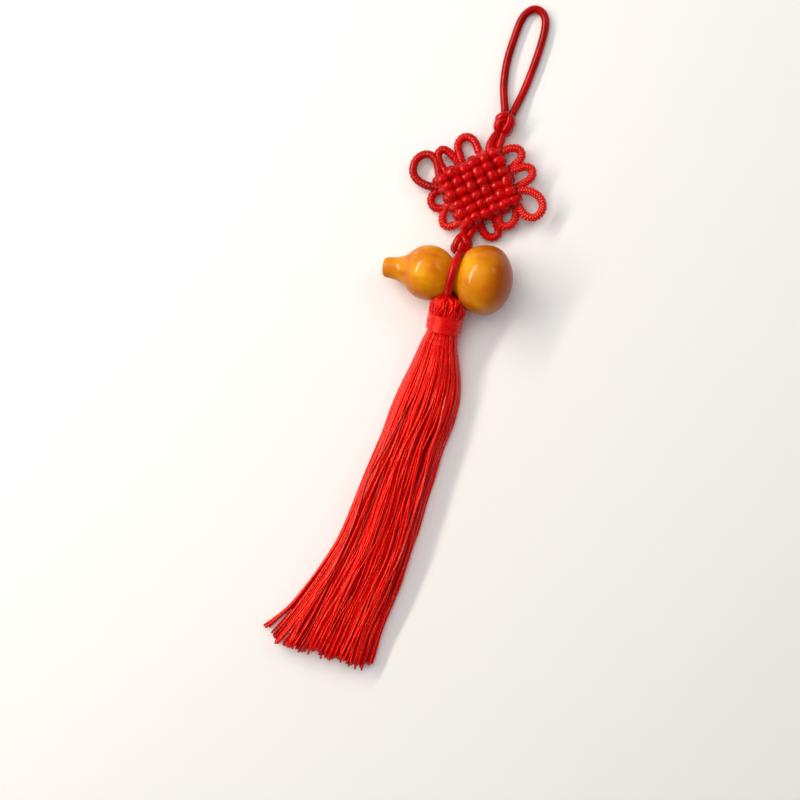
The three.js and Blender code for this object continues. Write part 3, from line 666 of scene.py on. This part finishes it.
def hanging_routes(column, level, low, thick, random):
    """The yarns' routes before they stray, yarns x rows x 3, and how far down the layout each row is.

    Across each section a yarn lies at left + (right - left) x its share of the width ** spread, and up it at
    height x level, so that the columns settle on to the table without changing their layers.
    """
    count = len(column)
    share = (column + 1) / 2
    edges = np.array(PARTINGS["edges"])
    parting = np.searchsorted(edges, share, side="right") - 1
    tight = np.where(parting < len(edges) - 1, PARTINGS["tight"], 0)
    root = YARN["root"]
    sections = [in_head(t, root * column, root * (2 * (level + low) - 1)) for t in YARN["root_at"]]
    for y, left, right, height, lift, flat, spread in SKIRT:
        held = 1 - tight * np.interp(-y, PARTINGS["from_to"], (0, 1))
        within = edges[parting] + (share - edges[parting]) * held
        x = left + thick / 2 + (right - left - thick) * within**spread
        z = lift + thick / 2 + (height - thick) * (level + (1 - flat) * low)
        sections.append(np.stack([x, np.full(count, y), z], 1))
    scallop = -CUT["scallop"] * np.cos(2 * np.pi * LOCKS["count"] * share)
    tip = np.interp(sections[-1][:, 0], TIPS[:, 0], TIPS[:, 1]) + scallop
    tip += random.normal(0, CUT["spread"], count)
    below_top = 1 - level / np.sqrt(1 - column**2).clip(0.3)
    sections[-1][:, 1] = tip + CUT["step"] * below_top * random.uniform(0, 1, count)
    knots = np.concatenate([YARN["root_down"], -SKIRT[:, 0]])
    down = np.linspace(knots[0], knots[-1], YARN["rows"])
    routes = spline(knots, np.stack(sections).reshape(len(knots), -1), down)
    return routes.reshape(len(down), count, 3).transpose(1, 0, 2), down


def wave_of(below, size, shortest, longest, count, random):
    """A slow wave for each yarn, with its own period and phase."""
    period, phase = random.uniform(shortest, longest, (count, 1)), random.uniform(0, 2 * np.pi, (count, 1))
    return size * np.sin(2 * np.pi * below / period + phase)


def skirt_yarns(settings):
    """Every yarn's route, radius, tone and layer, as arrays of yarns x rows.

    A yarn starts in the round head at its own column and level and hangs down by the skirt's sections. To
    that come slow waves of its own, a pull towards the middle of its lock, and for some yarns a drift over
    their neighbours, all growing from where it leaves the binding, and at the tips a fray.
    """
    random = np.random.default_rng(YARN["seed"])
    column, layer = yarn_places(settings)
    count, layers = len(column), settings.yarn_layers
    crown = np.sqrt(1 - column**2)
    level, low = np.minimum(layer / (layers - 1), crown), (1 - crown) / 2
    thick = settings.yarn_diameter / MM
    routes, down = hanging_routes(column, level, low, thick, random)
    below = (down - YARN["loose_from"]).clip(0)[None, :]
    grow = np.clip(below / YARN["strays"], 0, 1) ** 1.2
    share = ((column + 1) / 2)[:, None]
    inner = np.sqrt(1 - np.abs(column[:, None]).clip(0, 0.9) ** 2) * np.clip(4 * share, 0.5, 1)
    width = np.interp(below, -SKIRT[:, 0] - YARN["loose_from"], SKIRT[:, 2] - SKIRT[:, 1])
    wander = LOCKS["wander"] * np.sin(below / LOCKS["wander_run"] + 3 * share)
    lock = 2 * np.pi * (LOCKS["count"] * share + wander)
    low_left = np.clip((below - LOCKS["low_from"]) / LOCKS["low_over"], 0, 1) * np.clip(1.4 - 3 * share, 0, 1)
    pulled = LOCKS["pull"] + LOCKS["low_pull"] * low_left
    pull = -pulled * width / LOCKS["count"] / (2 * np.pi) * np.sin(lock)
    top = layer >= 0.75 * crown * layers
    crossing = random.uniform(0, 1, count) < np.where(top, *CROSSING["share"])
    drift = crossing * random.choice([-1, 1], count) * random.uniform(*CROSSING["drift"], count)
    drift = drift[:, None]
    slide = np.clip((below - random.uniform(*CROSSING["begin"], (count, 1))) / CROSSING["length"], 0, 1)
    slide = slide * slide * (3 - 2 * slide)
    waves = sum(wave_of(below, *wave, count, random) for wave in WAVES["across"])
    routes[..., 0] += grow * inner * (waves + pull + drift * slide)
    bulge = LOCKS["bulge"] * np.cos(lock) * level[:, None]
    over = CROSSING["over"] * np.abs(drift).clip(0, 1) * slide
    hump = CROSSING["hump"] * np.abs(drift) * slide * (1 - slide)
    routes[..., 2] += grow * (wave_of(below, *WAVES["up"], count, random) + bulge + over + hump)
    rows = CUT["fray_rows"]
    fray = np.clip(np.arange(1 - rows, 1) / 5 + 1, 0, 1) ** 2
    for axis, spread in zip((0, 2), CUT["fray"]):
        routes[:, -rows:, axis] += fray * random.normal(0, spread, (count, 1))
    radius = thick / 2 * (YARN["at_root"] + (1 - YARN["at_root"]) * np.clip(below / YARN["thickens"], 0, 1))
    radius = np.broadcast_to(radius, routes.shape[:2])
    routes[..., 2] = np.maximum(routes[..., 2], radius)
    in_lock = YARN_TONES["lock"] * np.sin(lock[:, YARN["rows"] // 2] + 1)
    tone = YARN_TONES["middle"] + random.normal(0, YARN_TONES["spread"], count) + in_lock
    return routes, radius, tone.clip(0, 1), layer


def yarn_skins(routes, radius, tone, reference=UP):
    """Six-sided skins round the yarns' routes, two of their sides square to the reference direction."""
    tangent = unit(np.gradient(routes, axis=1))
    side = unit(np.cross(reference, tangent))
    up = np.cross(tangent, side)
    angle = np.arange(YARN["sides"]) * 2 * np.pi / YARN["sides"]
    offset = np.cos(angle)[:, None] * side[:, :, None] + np.sin(angle)[:, None] * up[:, :, None]
    rings = routes[:, :, None] + radius[..., None, None] * offset
    rings[..., 2] = rings[..., 2].clip(0)
    steps = np.linalg.norm(np.diff(routes, axis=1), axis=2)
    run = np.concatenate([np.zeros((len(routes), 1)), np.cumsum(steps, 1)], 1)
    return skin(rings, run, tone=tone)


def add(tree, kind, inputs=None, **settings):
    """Adds a node with its own settings. inputs gives each socket a value, or an output to link to it.

    The numbered sockets of a map range are its value and the limits that it comes from and goes to, and
    those of a colour mix are its factor, 0, and its colours, 6 and 7.
    """
    node = tree.nodes.new(kind)
    for name, value in settings.items():
        setattr(node, name, value)
    for key, value in (inputs or {}).items():
        if isinstance(value, bpy.types.NodeSocket):
            tree.links.new(value, node.inputs[key])
        else:
            node.inputs[key].default_value = value
    return node


def new_material(name):
    material = bpy.data.materials.new(name)
    material.use_nodes = True
    material.node_tree.nodes.clear()
    return material, material.node_tree


def twist(tree, run, across, starts):
    """A wave along slanted threads: sin(2 pi (u / run + starts v)), u being millimetres and v turns."""
    vector = (2 * math.pi / run, 2 * math.pi * starts, 0)
    phase = add(tree, "ShaderNodeVectorMath", {0: across, 1: vector}, operation="DOT_PRODUCT")
    return add(tree, "ShaderNodeMath", {0: phase.outputs["Value"]}, operation="SINE").outputs[0]


def satin_nylon_cord(name, settings):
    """Braided nylon knotting cord: satin filaments laid in a herringbone, with painted shade in the creases
    between them. The filaments are about 0.8 mm long on the surface and give the cord a soft broken shine.
    The piece's tone paints light on it: a low tone is painted shade, and a high one is painted brighter, with
    painted highlight dots where the ribs cross."""
    material, tree = new_material(name)
    uv = add(tree, "ShaderNodeTexCoord").outputs["UV"]
    place = add(tree, "ShaderNodeTexCoord").outputs["Object"]
    tone = add(tree, "ShaderNodeAttribute", attribute_name="tone").outputs["Fac"]
    left, right = (twist(tree, settings.rib_pitch / MM, uv, starts) for starts in (4, -4))
    braid = add(tree, "ShaderNodeMath", {0: left, 1: right}, operation="MAXIMUM").outputs[0]
    fine = twist(tree, 0.32, uv, 6)
    height = add(tree, "ShaderNodeMath", {0: fine, 1: 0.25, 2: braid}, operation="MULTIPLY_ADD").outputs[0]
    # Darker in the braid's creases: painted shade.
    painted_crease_shade = add(tree, "ShaderNodeMapRange", {0: height, 1: -0.9, 2: 1.0, 3: 0.65, 4: 1.0}).outputs[0]
    patchy = add(tree, "ShaderNodeTexNoise", {"Vector": place, "Scale": 1 / 0.006, "Detail": 2.0}).outputs[0]
    painted_crease_shade = add(tree, "ShaderNodeMath", {0: painted_crease_shade, 1: patchy}, operation="MULTIPLY").outputs[0]
    # The piece's tone adds painted light, or painted shade where it is low.
    painted_light_and_patches = add(tree, "ShaderNodeMath", {0: tone, 1: 0.6, 2: painted_crease_shade}, operation="MULTIPLY_ADD").outputs[0]
    painted_light_and_patches = add(tree, "ShaderNodeMapRange", {0: painted_light_and_patches, 1: 0.45, 2: 0.9, 3: 0.0, 4: 1.0}).outputs[0]
    # Painted highlight dots where the ribs cross, on pieces of a high tone.
    crossed = add(tree, "ShaderNodeMath", {0: left, 1: right}, operation="ADD").outputs[0]
    dots = add(tree, "ShaderNodeMapRange", {0: crossed, 1: 0.6, 2: 1.5, 3: 0.0, 4: 1.0}).outputs[0]
    bright = add(tree, "ShaderNodeMapRange", {0: tone, 1: 0.5, 2: 1.0, 3: 0.0, 4: 1.0}).outputs[0]
    lit = add(tree, "ShaderNodeMath", {0: dots, 1: bright}, operation="MULTIPLY").outputs[0]
    colour = tuple(settings.shade)
    for share, towards in ((painted_light_and_patches, settings.colour), (lit, settings.glint)):
        mixed = {0: share, 6: colour, 7: tuple(towards)}
        colour = add(tree, "ShaderNodeMix", mixed, data_type="RGBA").outputs[2]
    bump = add(tree, "ShaderNodeBump", {"Height": height, "Strength": 0.6, "Distance": 0.055 * MM})
    shader = add(tree, "ShaderNodeBsdfPrincipled", {
        "Base Color": colour, "Roughness": 0.3, "IOR": 1.53, "Specular IOR Level": 0.4, "Coat Weight": 0.2,
        "Specular Tint": linear("#FF6C5A"), "Coat Roughness": 0.16, "Normal": bump.outputs[0],
    })
    add(tree, "ShaderNodeOutputMaterial", {"Surface": shader.outputs[0]})
    return material


def lustrous_rayon(name, settings, ply_run, plies, roughness, patches):
    """Twisted rayon: bright filaments that shine along the yarn, with painted shade in the furrows between
    its plies. The patches, in millimetres, are long lighter and darker streaks of random tone that paint
    neighbouring filaments shining or hanging in shade together. The brightest of them, on the yarns of a high
    tone, carry a paler painted glint."""
    material, tree = new_material(name)
    uv = add(tree, "ShaderNodeTexCoord").outputs["UV"]
    place = add(tree, "ShaderNodeTexCoord").outputs["Object"]
    tone = add(tree, "ShaderNodeAttribute", attribute_name="tone").outputs["Fac"]
    ply = twist(tree, ply_run, uv, plies)
    filament = twist(tree, ply_run / 3, uv, 4 * plies)
    height = add(tree, "ShaderNodeMath", {0: filament, 1: 0.3, 2: ply}, operation="MULTIPLY_ADD").outputs[0]
    # Lower in the furrows between the plies: painted shade.
    painted_crease_shade = add(tree, "ShaderNodeMapRange", {0: height, 1: -1.2, 2: 1.0, 3: 0.0, 4: 0.18}).outputs[0]
    stretch = tuple(1 / (size * MM) for size in patches)
    streaks = add(tree, "ShaderNodeVectorMath", {0: place, 1: stretch}, operation="MULTIPLY").outputs[0]
    patchy = add(tree, "ShaderNodeTexNoise", {"Vector": streaks, "Scale": 1.0, "Detail": 3.0}).outputs[0]
    bright = add(tree, "ShaderNodeMath", {0: tone, 1: patchy}, operation="ADD").outputs[0]
    bright = add(tree, "ShaderNodeMath", {0: bright, 1: 0.8, 2: painted_crease_shade}, operation="MULTIPLY_ADD").outputs[0]
    bright = add(tree, "ShaderNodeMapRange", {0: bright, 1: 0.46, 2: 1.06, 3: 0.0, 4: 1.0}).outputs[0]
    # A paler painted glint on the brightest streaks of the yarns of a high tone.
    painted_glint = add(tree, "ShaderNodeMath", {0: patchy, 1: 2.2, 2: tone}, operation="MULTIPLY_ADD").outputs[0]
    painted_glint = add(tree, "ShaderNodeMapRange", {0: painted_glint, 1: 2.0, 2: 2.45, 3: 0.0, 4: 0.8}).outputs[0]
    colour = tuple(settings.shade)
    for share, towards in ((bright, settings.colour), (painted_glint, settings.glint)):
        mixed = {0: share, 6: colour, 7: tuple(towards)}
        colour = add(tree, "ShaderNodeMix", mixed, data_type="RGBA").outputs[2]
    bump = add(tree, "ShaderNodeBump", {"Height": height, "Strength": 0.4, "Distance": 0.06 * MM})
    shader = add(tree, "ShaderNodeBsdfPrincipled", {
        "Base Color": colour, "Roughness": roughness, "IOR": 1.54, "Specular IOR Level": 1.0,
        "Specular Tint": linear("#FF6048"), "Coat Weight": 0.05, "Coat Roughness": 0.14,
        "Normal": bump.outputs[0],
    })
    add(tree, "ShaderNodeOutputMaterial", {"Surface": shader.outputs[0]})
    return material


def lacquered_wood(name, settings):
    """Turned wood, stained amber and lacquered: soft streaks along the grain under a clear wet-looking coat.
    Towards the large lobe's crown and on the gourd's low side the colour is painted darker: painted shade."""
    material, tree = new_material(name)
    place = add(tree, "ShaderNodeTexCoord").outputs["Object"]
    turned = {"Vector": place, "Rotation": (0, -GOURD["rise"], GOURD["turn"]), "Scale": (0.016, 0.004, 0.004)}
    along_grain = add(tree, "ShaderNodeMapping", turned, vector_type="TEXTURE").outputs[0]
    grain = add(tree, "ShaderNodeTexNoise", {"Vector": along_grain, "Scale": 1.0, "Detail": 4.0}).outputs[0]
    stain = add(tree, "ShaderNodeTexNoise", {"Vector": place, "Scale": 1 / 0.009, "Detail": 3.0}).outputs[0]
    light = add(tree, "ShaderNodeMath", {0: stain, 1: 2.2, 2: grain}, operation="MULTIPLY_ADD").outputs[0]
    light = add(tree, "ShaderNodeMapRange", {0: light, 1: 1.1, 2: 2.05, 3: 0.0, 4: 1.0}).outputs[0]
    axis, level, up = gourd_axes()
    stem = in_frame(np.array(GOURD["stem"]))
    # Painted shade: the way towards it, where that begins from the stem, its depth and its most.
    gourd_shade = (axis, 0.0265, 0.0125, 0.9)
    low_side_shade = (-0.9 * level - 0.44 * up, 0.0, 0.0095, 0.7)
    shade_share = []
    for way, begin, depth, most in (gourd_shade, low_side_shade):
        run = add(tree, "ShaderNodeVectorMath", {0: place, 1: way.tolist()}, operation="DOT_PRODUCT")
        begin += float(stem @ way)
        limits = {0: run.outputs["Value"], 1: begin, 2: begin + depth, 3: 0.0, 4: most}
        shade_share.append(add(tree, "ShaderNodeMapRange", limits).outputs[0])
    shade_share = add(tree, "ShaderNodeMath", {0: shade_share[0], 1: shade_share[1]}, operation="MAXIMUM").outputs[0]
    colour = tuple(settings.deep)
    for share, towards in ((light, settings.light), (shade_share, settings.gourd_shade)):
        mixed = {0: share, 6: colour, 7: tuple(towards)}
        colour = add(tree, "ShaderNodeMix", mixed, data_type="RGBA").outputs[2]
    bump = add(tree, "ShaderNodeBump", {"Height": grain, "Strength": 0.12, "Distance": 0.1 * MM})
    shader = add(tree, "ShaderNodeBsdfPrincipled", {
        "Base Color": colour, "Roughness": 0.45, "IOR": 1.5, "Specular IOR Level": 0.1, "Coat Weight": 0.42,
        "Coat Roughness": 0.09, "Coat IOR": 1.38, "Normal": bump.outputs[0],
    })
    add(tree, "ShaderNodeOutputMaterial", {"Surface": shader.outputs[0]})
    return material


def matt_board(name, settings):
    """Plain pale matt board, with a very faint mottle."""
    material, tree = new_material(name)
    place = add(tree, "ShaderNodeTexCoord").outputs["Object"]
    mottle = add(tree, "ShaderNodeTexNoise", {"Vector": place, "Scale": 1 / 0.02, "Detail": 3.0}).outputs[0]
    near = tuple(0.985 * part for part in settings.floor[:3]) + (1.0,)
    colours = {0: mottle, 6: near, 7: tuple(settings.floor)}
    colour = add(tree, "ShaderNodeMix", colours, data_type="RGBA").outputs[2]
    shader = add(tree, "ShaderNodeBsdfPrincipled", {"Base Color": colour, "Roughness": 0.75})
    add(tree, "ShaderNodeOutputMaterial", {"Surface": shader.outputs[0]})
    return material


def material_of(name, make, settings, **finish):
    """The material of that name, made the first time that it is asked for."""
    return bpy.data.materials.get(name) or make(name, settings, **finish)


def cord_material(context):
    return material_of("satin_braided_nylon", satin_nylon_cord, context.scene.tassel_cord)


def yarn_material(context):
    return material_of("twisted_rayon_yarn", lustrous_rayon, context.scene.tassel_yarn, **YARN_FINISH)


def colour_setting(name, description, hex_colour):
    """A colour that a user can change, from its sRGB hex value."""
    return bpy.props.FloatVectorProperty(
        name=name, description=description, subtype="COLOR", size=4, min=0, max=1, default=linear(hex_colour)
    )


def length_setting(name, description, millimetres):
    """A small length that a user can change."""
    return bpy.props.FloatProperty(
        name=name, description=description, default=millimetres * MM, unit="LENGTH", precision=5
    )


class CordSettings(bpy.types.PropertyGroup):
    """Sizes and colours of the knotting cord."""

    diameter: length_setting("Diameter", "Thickness of the knotting cord", 2.5)
    rib_pitch: length_setting("Rib pitch", "From one rib of the braid to the next", RIB_PITCH)
    colour: colour_setting("Colour", "The cord's filaments in the light", "#D20409")
    # The shade colour is painted shade in the braid's creases and on pieces of a low tone.
    shade: colour_setting("Shade", "The creases of the braid", "#8E0204")
    # The glint colour is a painted highlight on the ribs.
    glint: colour_setting("Glint", "Ribs whose filaments face the light", "#FF6A54")


class TasselSettings(bpy.types.PropertyGroup):
    """Sizes and colours of the tassel's yarn."""

    yarns_across: bpy.props.IntProperty(
        name="Yarns across", description="Columns of yarn in the skirt", default=36, min=8
    )
    yarn_layers: bpy.props.IntProperty(
        name="Layers", description="Layers of yarn in the skirt", default=15, min=3
    )
    yarn_diameter: length_setting("Yarn diameter", "Thickness of one twisted yarn", 0.62)
    colour: colour_setting("Colour", "The brightest yarns", "#FC100C")
    # The shade colour is the deepest yarns' own colour, and painted shade in the furrows of the twist.
    shade: colour_setting("Shade", "The deepest yarns and the furrows of the twist", "#A00004")
    # The glint colour is a painted highlight.
    glint: colour_setting("Glint", "Yarns whose filaments face the light", "#FF6450")


class GourdSettings(bpy.types.PropertyGroup):
    """Colours of the gourd's stained wood."""

    light: colour_setting("Light stain", "Amber of the light grain", "#F4A604")
    deep: colour_setting("Deep stain", "Orange brown of the deep grain", "#C65E02")
    # The colour of the painted shade on the large lobe's crown and the gourd's low side.
    gourd_shade: colour_setting("End grain", "The darker stain of the end grain", "#9C3202")


class StageSettings(bpy.types.PropertyGroup):
    """The table, the lights and the camera."""

    floor: colour_setting("Table", "Colour of the table", "#FAF9F8")
    lens: bpy.props.FloatProperty(
        name="Lens", description="Focal length on a 36 mm wide sensor", default=85.0, unit="CAMERA"
    )
    key: bpy.props.FloatProperty(
        name="Key light", description="Power of the long light on the left", default=3.3
    )
    glint: bpy.props.FloatProperty(
        name="Glint light", description="Power of the strip that gives only shine", default=4.8
    )
    soft: bpy.props.FloatProperty(
        name="Soft light", description="Power of the wide light above", default=4.8
    )
    edge: bpy.props.FloatProperty(
        name="Edge light", description="Power of the light behind the loop", default=0.7
    )
    sky: bpy.props.FloatProperty(
        name="Room light", description="Strength of the light from all round", default=0.25
    )


class TASSEL_OT_stage(bpy.types.Operator):
    """Add the table, the soft lights and the camera that looks straight down"""

    bl_idname = "tassel.stage"
    bl_label = "Stage"

    def execute(self, context):
        settings = context.scene.tassel_stage
        camera = bpy.data.cameras.new("camera")
        camera.lens = settings.lens
        camera.clip_start = 0.01
        holder = bpy.data.objects.new("camera", camera)
        width = PHOTO["pixels"] * PHOTO["mm"] * MM
        middle = in_frame(np.array(PHOTO["middle"]))
        holder.location = middle + UP * width * settings.lens / camera.sensor_width
        holder.rotation_euler = (0, 0, PHOTO["tilt"])
        context.scene.collection.objects.link(holder)
        context.scene.camera = holder

        corners = [(TABLE_HALF * x, TABLE_HALF * y, 0) for x, y in ((-1, -1), (1, -1), (1, 1), (-1, 1))]
        mesh = bpy.data.meshes.new("table")
        mesh.from_pydata(corners, [], [(0, 1, 2, 3)])
        mesh.materials.append(material_of("matt_pale_board", matt_board, settings))
        table = bpy.data.objects.new("table", mesh)
        table.location.z = -0.05 * MM
        context.scene.collection.objects.link(table)

        for name, row in LIGHTS.items():
            light = bpy.data.lights.new(name, "AREA")
            light.shape = "RECTANGLE"
            light.size, light.size_y = row["size"]
            light.energy = getattr(settings, name)
            light.color = linear(row["colour"])[:3]
            lamp = bpy.data.objects.new(name, light)
            lamp.location = row["at"]
            lamp.rotation_euler = (-Vector(row["at"])).to_track_quat("-Z", "Y").to_euler()
            lamp.visible_glossy = name != "soft"
            lamp.visible_diffuse = name != "glint"
            context.scene.collection.objects.link(lamp)
        world = bpy.data.worlds.new("room")
        world.use_nodes = True
        world.node_tree.nodes["Background"].inputs["Color"].default_value = linear("#FBFAFF")
        world.node_tree.nodes["Background"].inputs["Strength"].default_value = settings.sky
        world.cycles_visibility.glossy = False
        context.scene.world = world
        context.scene.view_settings.view_transform = "Standard"
        return {"FINISHED"}


class TASSEL_OT_hanging_loop(bpy.types.Operator):
    """Add the free loop of cord that the tassel hangs by"""

    bl_idname = "tassel.hanging_loop"
    bl_label = "Hanging loop"

    def execute(self, context):
        diameter = context.scene.tassel_cord.diameter
        route = through(LOOP, CORD_STEP)
        # The loop's low tone is painted shade.
        cord = cord_skin(route, UP, diameter / MM / 2, relief=RELIEF["loop"], tone=LOOP_PAINTED_SHADE)
        loop = add_piece("hanging_loop_cord", [cord], cord_material(context), "cord", "hanging_loop")
        return {"FINISHED"}


class TASSEL_OT_woven_knot(bpy.types.Operator):
    """Add the woven square knot of six lines crossing six"""

    bl_idname = "tassel.woven_knot"
    bl_label = "Woven knot"

    def execute(self, context):
        add_piece("woven_knot", woven_knot(), cord_material(context), "cord", "knotted_cord")
        return {"FINISHED"}


class TASSEL_OT_ears(bpy.types.Operator):
    """Add the ears and the two corner loops round the woven knot, and the cords of its necks"""

    bl_idname = "tassel.ears"
    bl_label = "Ears and necks"

    def execute(self, context):
        radius = context.scene.tassel_cord.diameter / MM / 2
        ears = [
            cord_skin(ear_route(ear), UP, radius, relief=RELIEF["ear"], pitch=EAR_PITCH, tone=ear["tone"])
            for ear in EARS.values()
        ]
        add_piece("knot_ears", ears, cord_material(context), "cord", "knotted_cord")
        necks = [cord_skin(through(neck, CORD_STEP), UP, radius, relief=RELIEF["neck"]) for neck in NECKS]
        add_piece("neck_cords", necks, cord_material(context), "cord", "knotted_cord")
        return {"FINISHED"}


class TASSEL_OT_button_knots(bpy.types.Operator):
    """Add the two button knots"""

    bl_idname = "tassel.button_knots"
    bl_label = "Button knots"

    def execute(self, context):
        for name, button in BUTTONS.items():
            add_piece(name, button_knot(**button), cord_material(context), "cord", "knotted_cord")
        return {"FINISHED"}


class TASSEL_OT_gourd(bpy.types.Operator):
    """Add the turned gourd and the two legs of cord that tie it at its waist"""

    bl_idname = "tassel.gourd"
    bl_label = "Gourd and tie"

    def execute(self, context):
        wood = material_of("lacquered_turned_wood", lacquered_wood, context.scene.tassel_gourd)
        add_piece("turned_gourd", [gourd_skin()], wood, "gourd", "gourd_charm")
        radius = context.scene.tassel_cord.diameter / MM / 2
        axis, wide = gourd_axes()[0], radius * TIE["wide"]
        routes = [through(route, CORD_STEP) for route in tie_routes()]
        legs = [cord_skin(route, axis, wide, radius, relief=RELIEF["tie"]) for route in routes]
        add_piece("gourd_tie", legs, cord_material(context), "cord", "knotted_cord")
        return {"FINISHED"}


class TASSEL_OT_head(bpy.types.Operator):
    """Add the tassel's folded head and the thread wound round it"""

    bl_idname = "tassel.head"
    bl_label = "Head and binding"

    def execute(self, context):
        settings = context.scene.tassel_yarn
        yarn = yarn_material(context)
        thread = material_of("wound_rayon_thread", lustrous_rayon, settings, **THREAD_FINISH)
        add_piece("folded_head", head_skins(settings), yarn, "yarn", "tassel")
        add_piece("wound_binding", [binding_skin()], thread, "thread", "head_binding")
        return {"FINISHED"}


class TASSEL_OT_skirt(bpy.types.Operator):
    """Add the skirt's yarns"""

    bl_idname = "tassel.skirt"
    bl_label = "Skirt"

    def execute(self, context):
        yarn = yarn_material(context)
        routes, radius, tone, layer = skirt_yarns(context.scene.tassel_yarn)
        upper = layer >= YARN["upper_from"]
        for name, chosen in (("skirt_upper_yarns", upper), ("skirt_lower_yarns", ~upper)):
            skins = [yarn_skins(routes[chosen], radius[chosen], tone[chosen])]
            add_piece(name, skins, yarn, "yarn", "tassel")
        return {"FINISHED"}


class TASSEL_PT_panel(bpy.types.Panel):
    """The tassel's pieces and their settings"""

    bl_idname = "TASSEL_PT_panel"
    bl_label = "Knotted Tassel"
    bl_space_type = "VIEW_3D"
    bl_region_type = "UI"
    bl_category = "Tassel"

    def draw(self, context):
        for operator in OPERATORS:
            self.layout.operator(operator.bl_idname)
        for name, settings in SETTINGS.items():
            box = self.layout.box()
            for prop in settings.__annotations__:
                box.prop(getattr(context.scene, name), prop)


SETTINGS = {
    "tassel_cord": CordSettings,
    "tassel_yarn": TasselSettings,
    "tassel_gourd": GourdSettings,
    "tassel_stage": StageSettings,
}
OPERATORS = (
    TASSEL_OT_stage,
    TASSEL_OT_hanging_loop,
    TASSEL_OT_woven_knot,
    TASSEL_OT_ears,
    TASSEL_OT_button_knots,
    TASSEL_OT_gourd,
    TASSEL_OT_head,
    TASSEL_OT_skirt,
)


def register():
    for name, settings in SETTINGS.items():
        bpy.utils.register_class(settings)
        setattr(bpy.types.Scene, name, bpy.props.PointerProperty(type=settings))
    for panel_or_operator in (*OPERATORS, TASSEL_PT_panel):
        bpy.utils.register_class(panel_or_operator)


def unregister():
    for panel_or_operator in (TASSEL_PT_panel, *reversed(OPERATORS)):
        bpy.utils.unregister_class(panel_or_operator)
    for name, settings in SETTINGS.items():
        delattr(bpy.types.Scene, name)
        bpy.utils.unregister_class(settings)


def main():
    register()
    bpy.ops.tassel.stage()
    bpy.ops.tassel.hanging_loop()
    bpy.ops.tassel.woven_knot()
    bpy.ops.tassel.ears()
    bpy.ops.tassel.button_knots()
    bpy.ops.tassel.gourd()
    bpy.ops.tassel.head()
    bpy.ops.tassel.skirt()


if __name__ == "__main__":
    main()
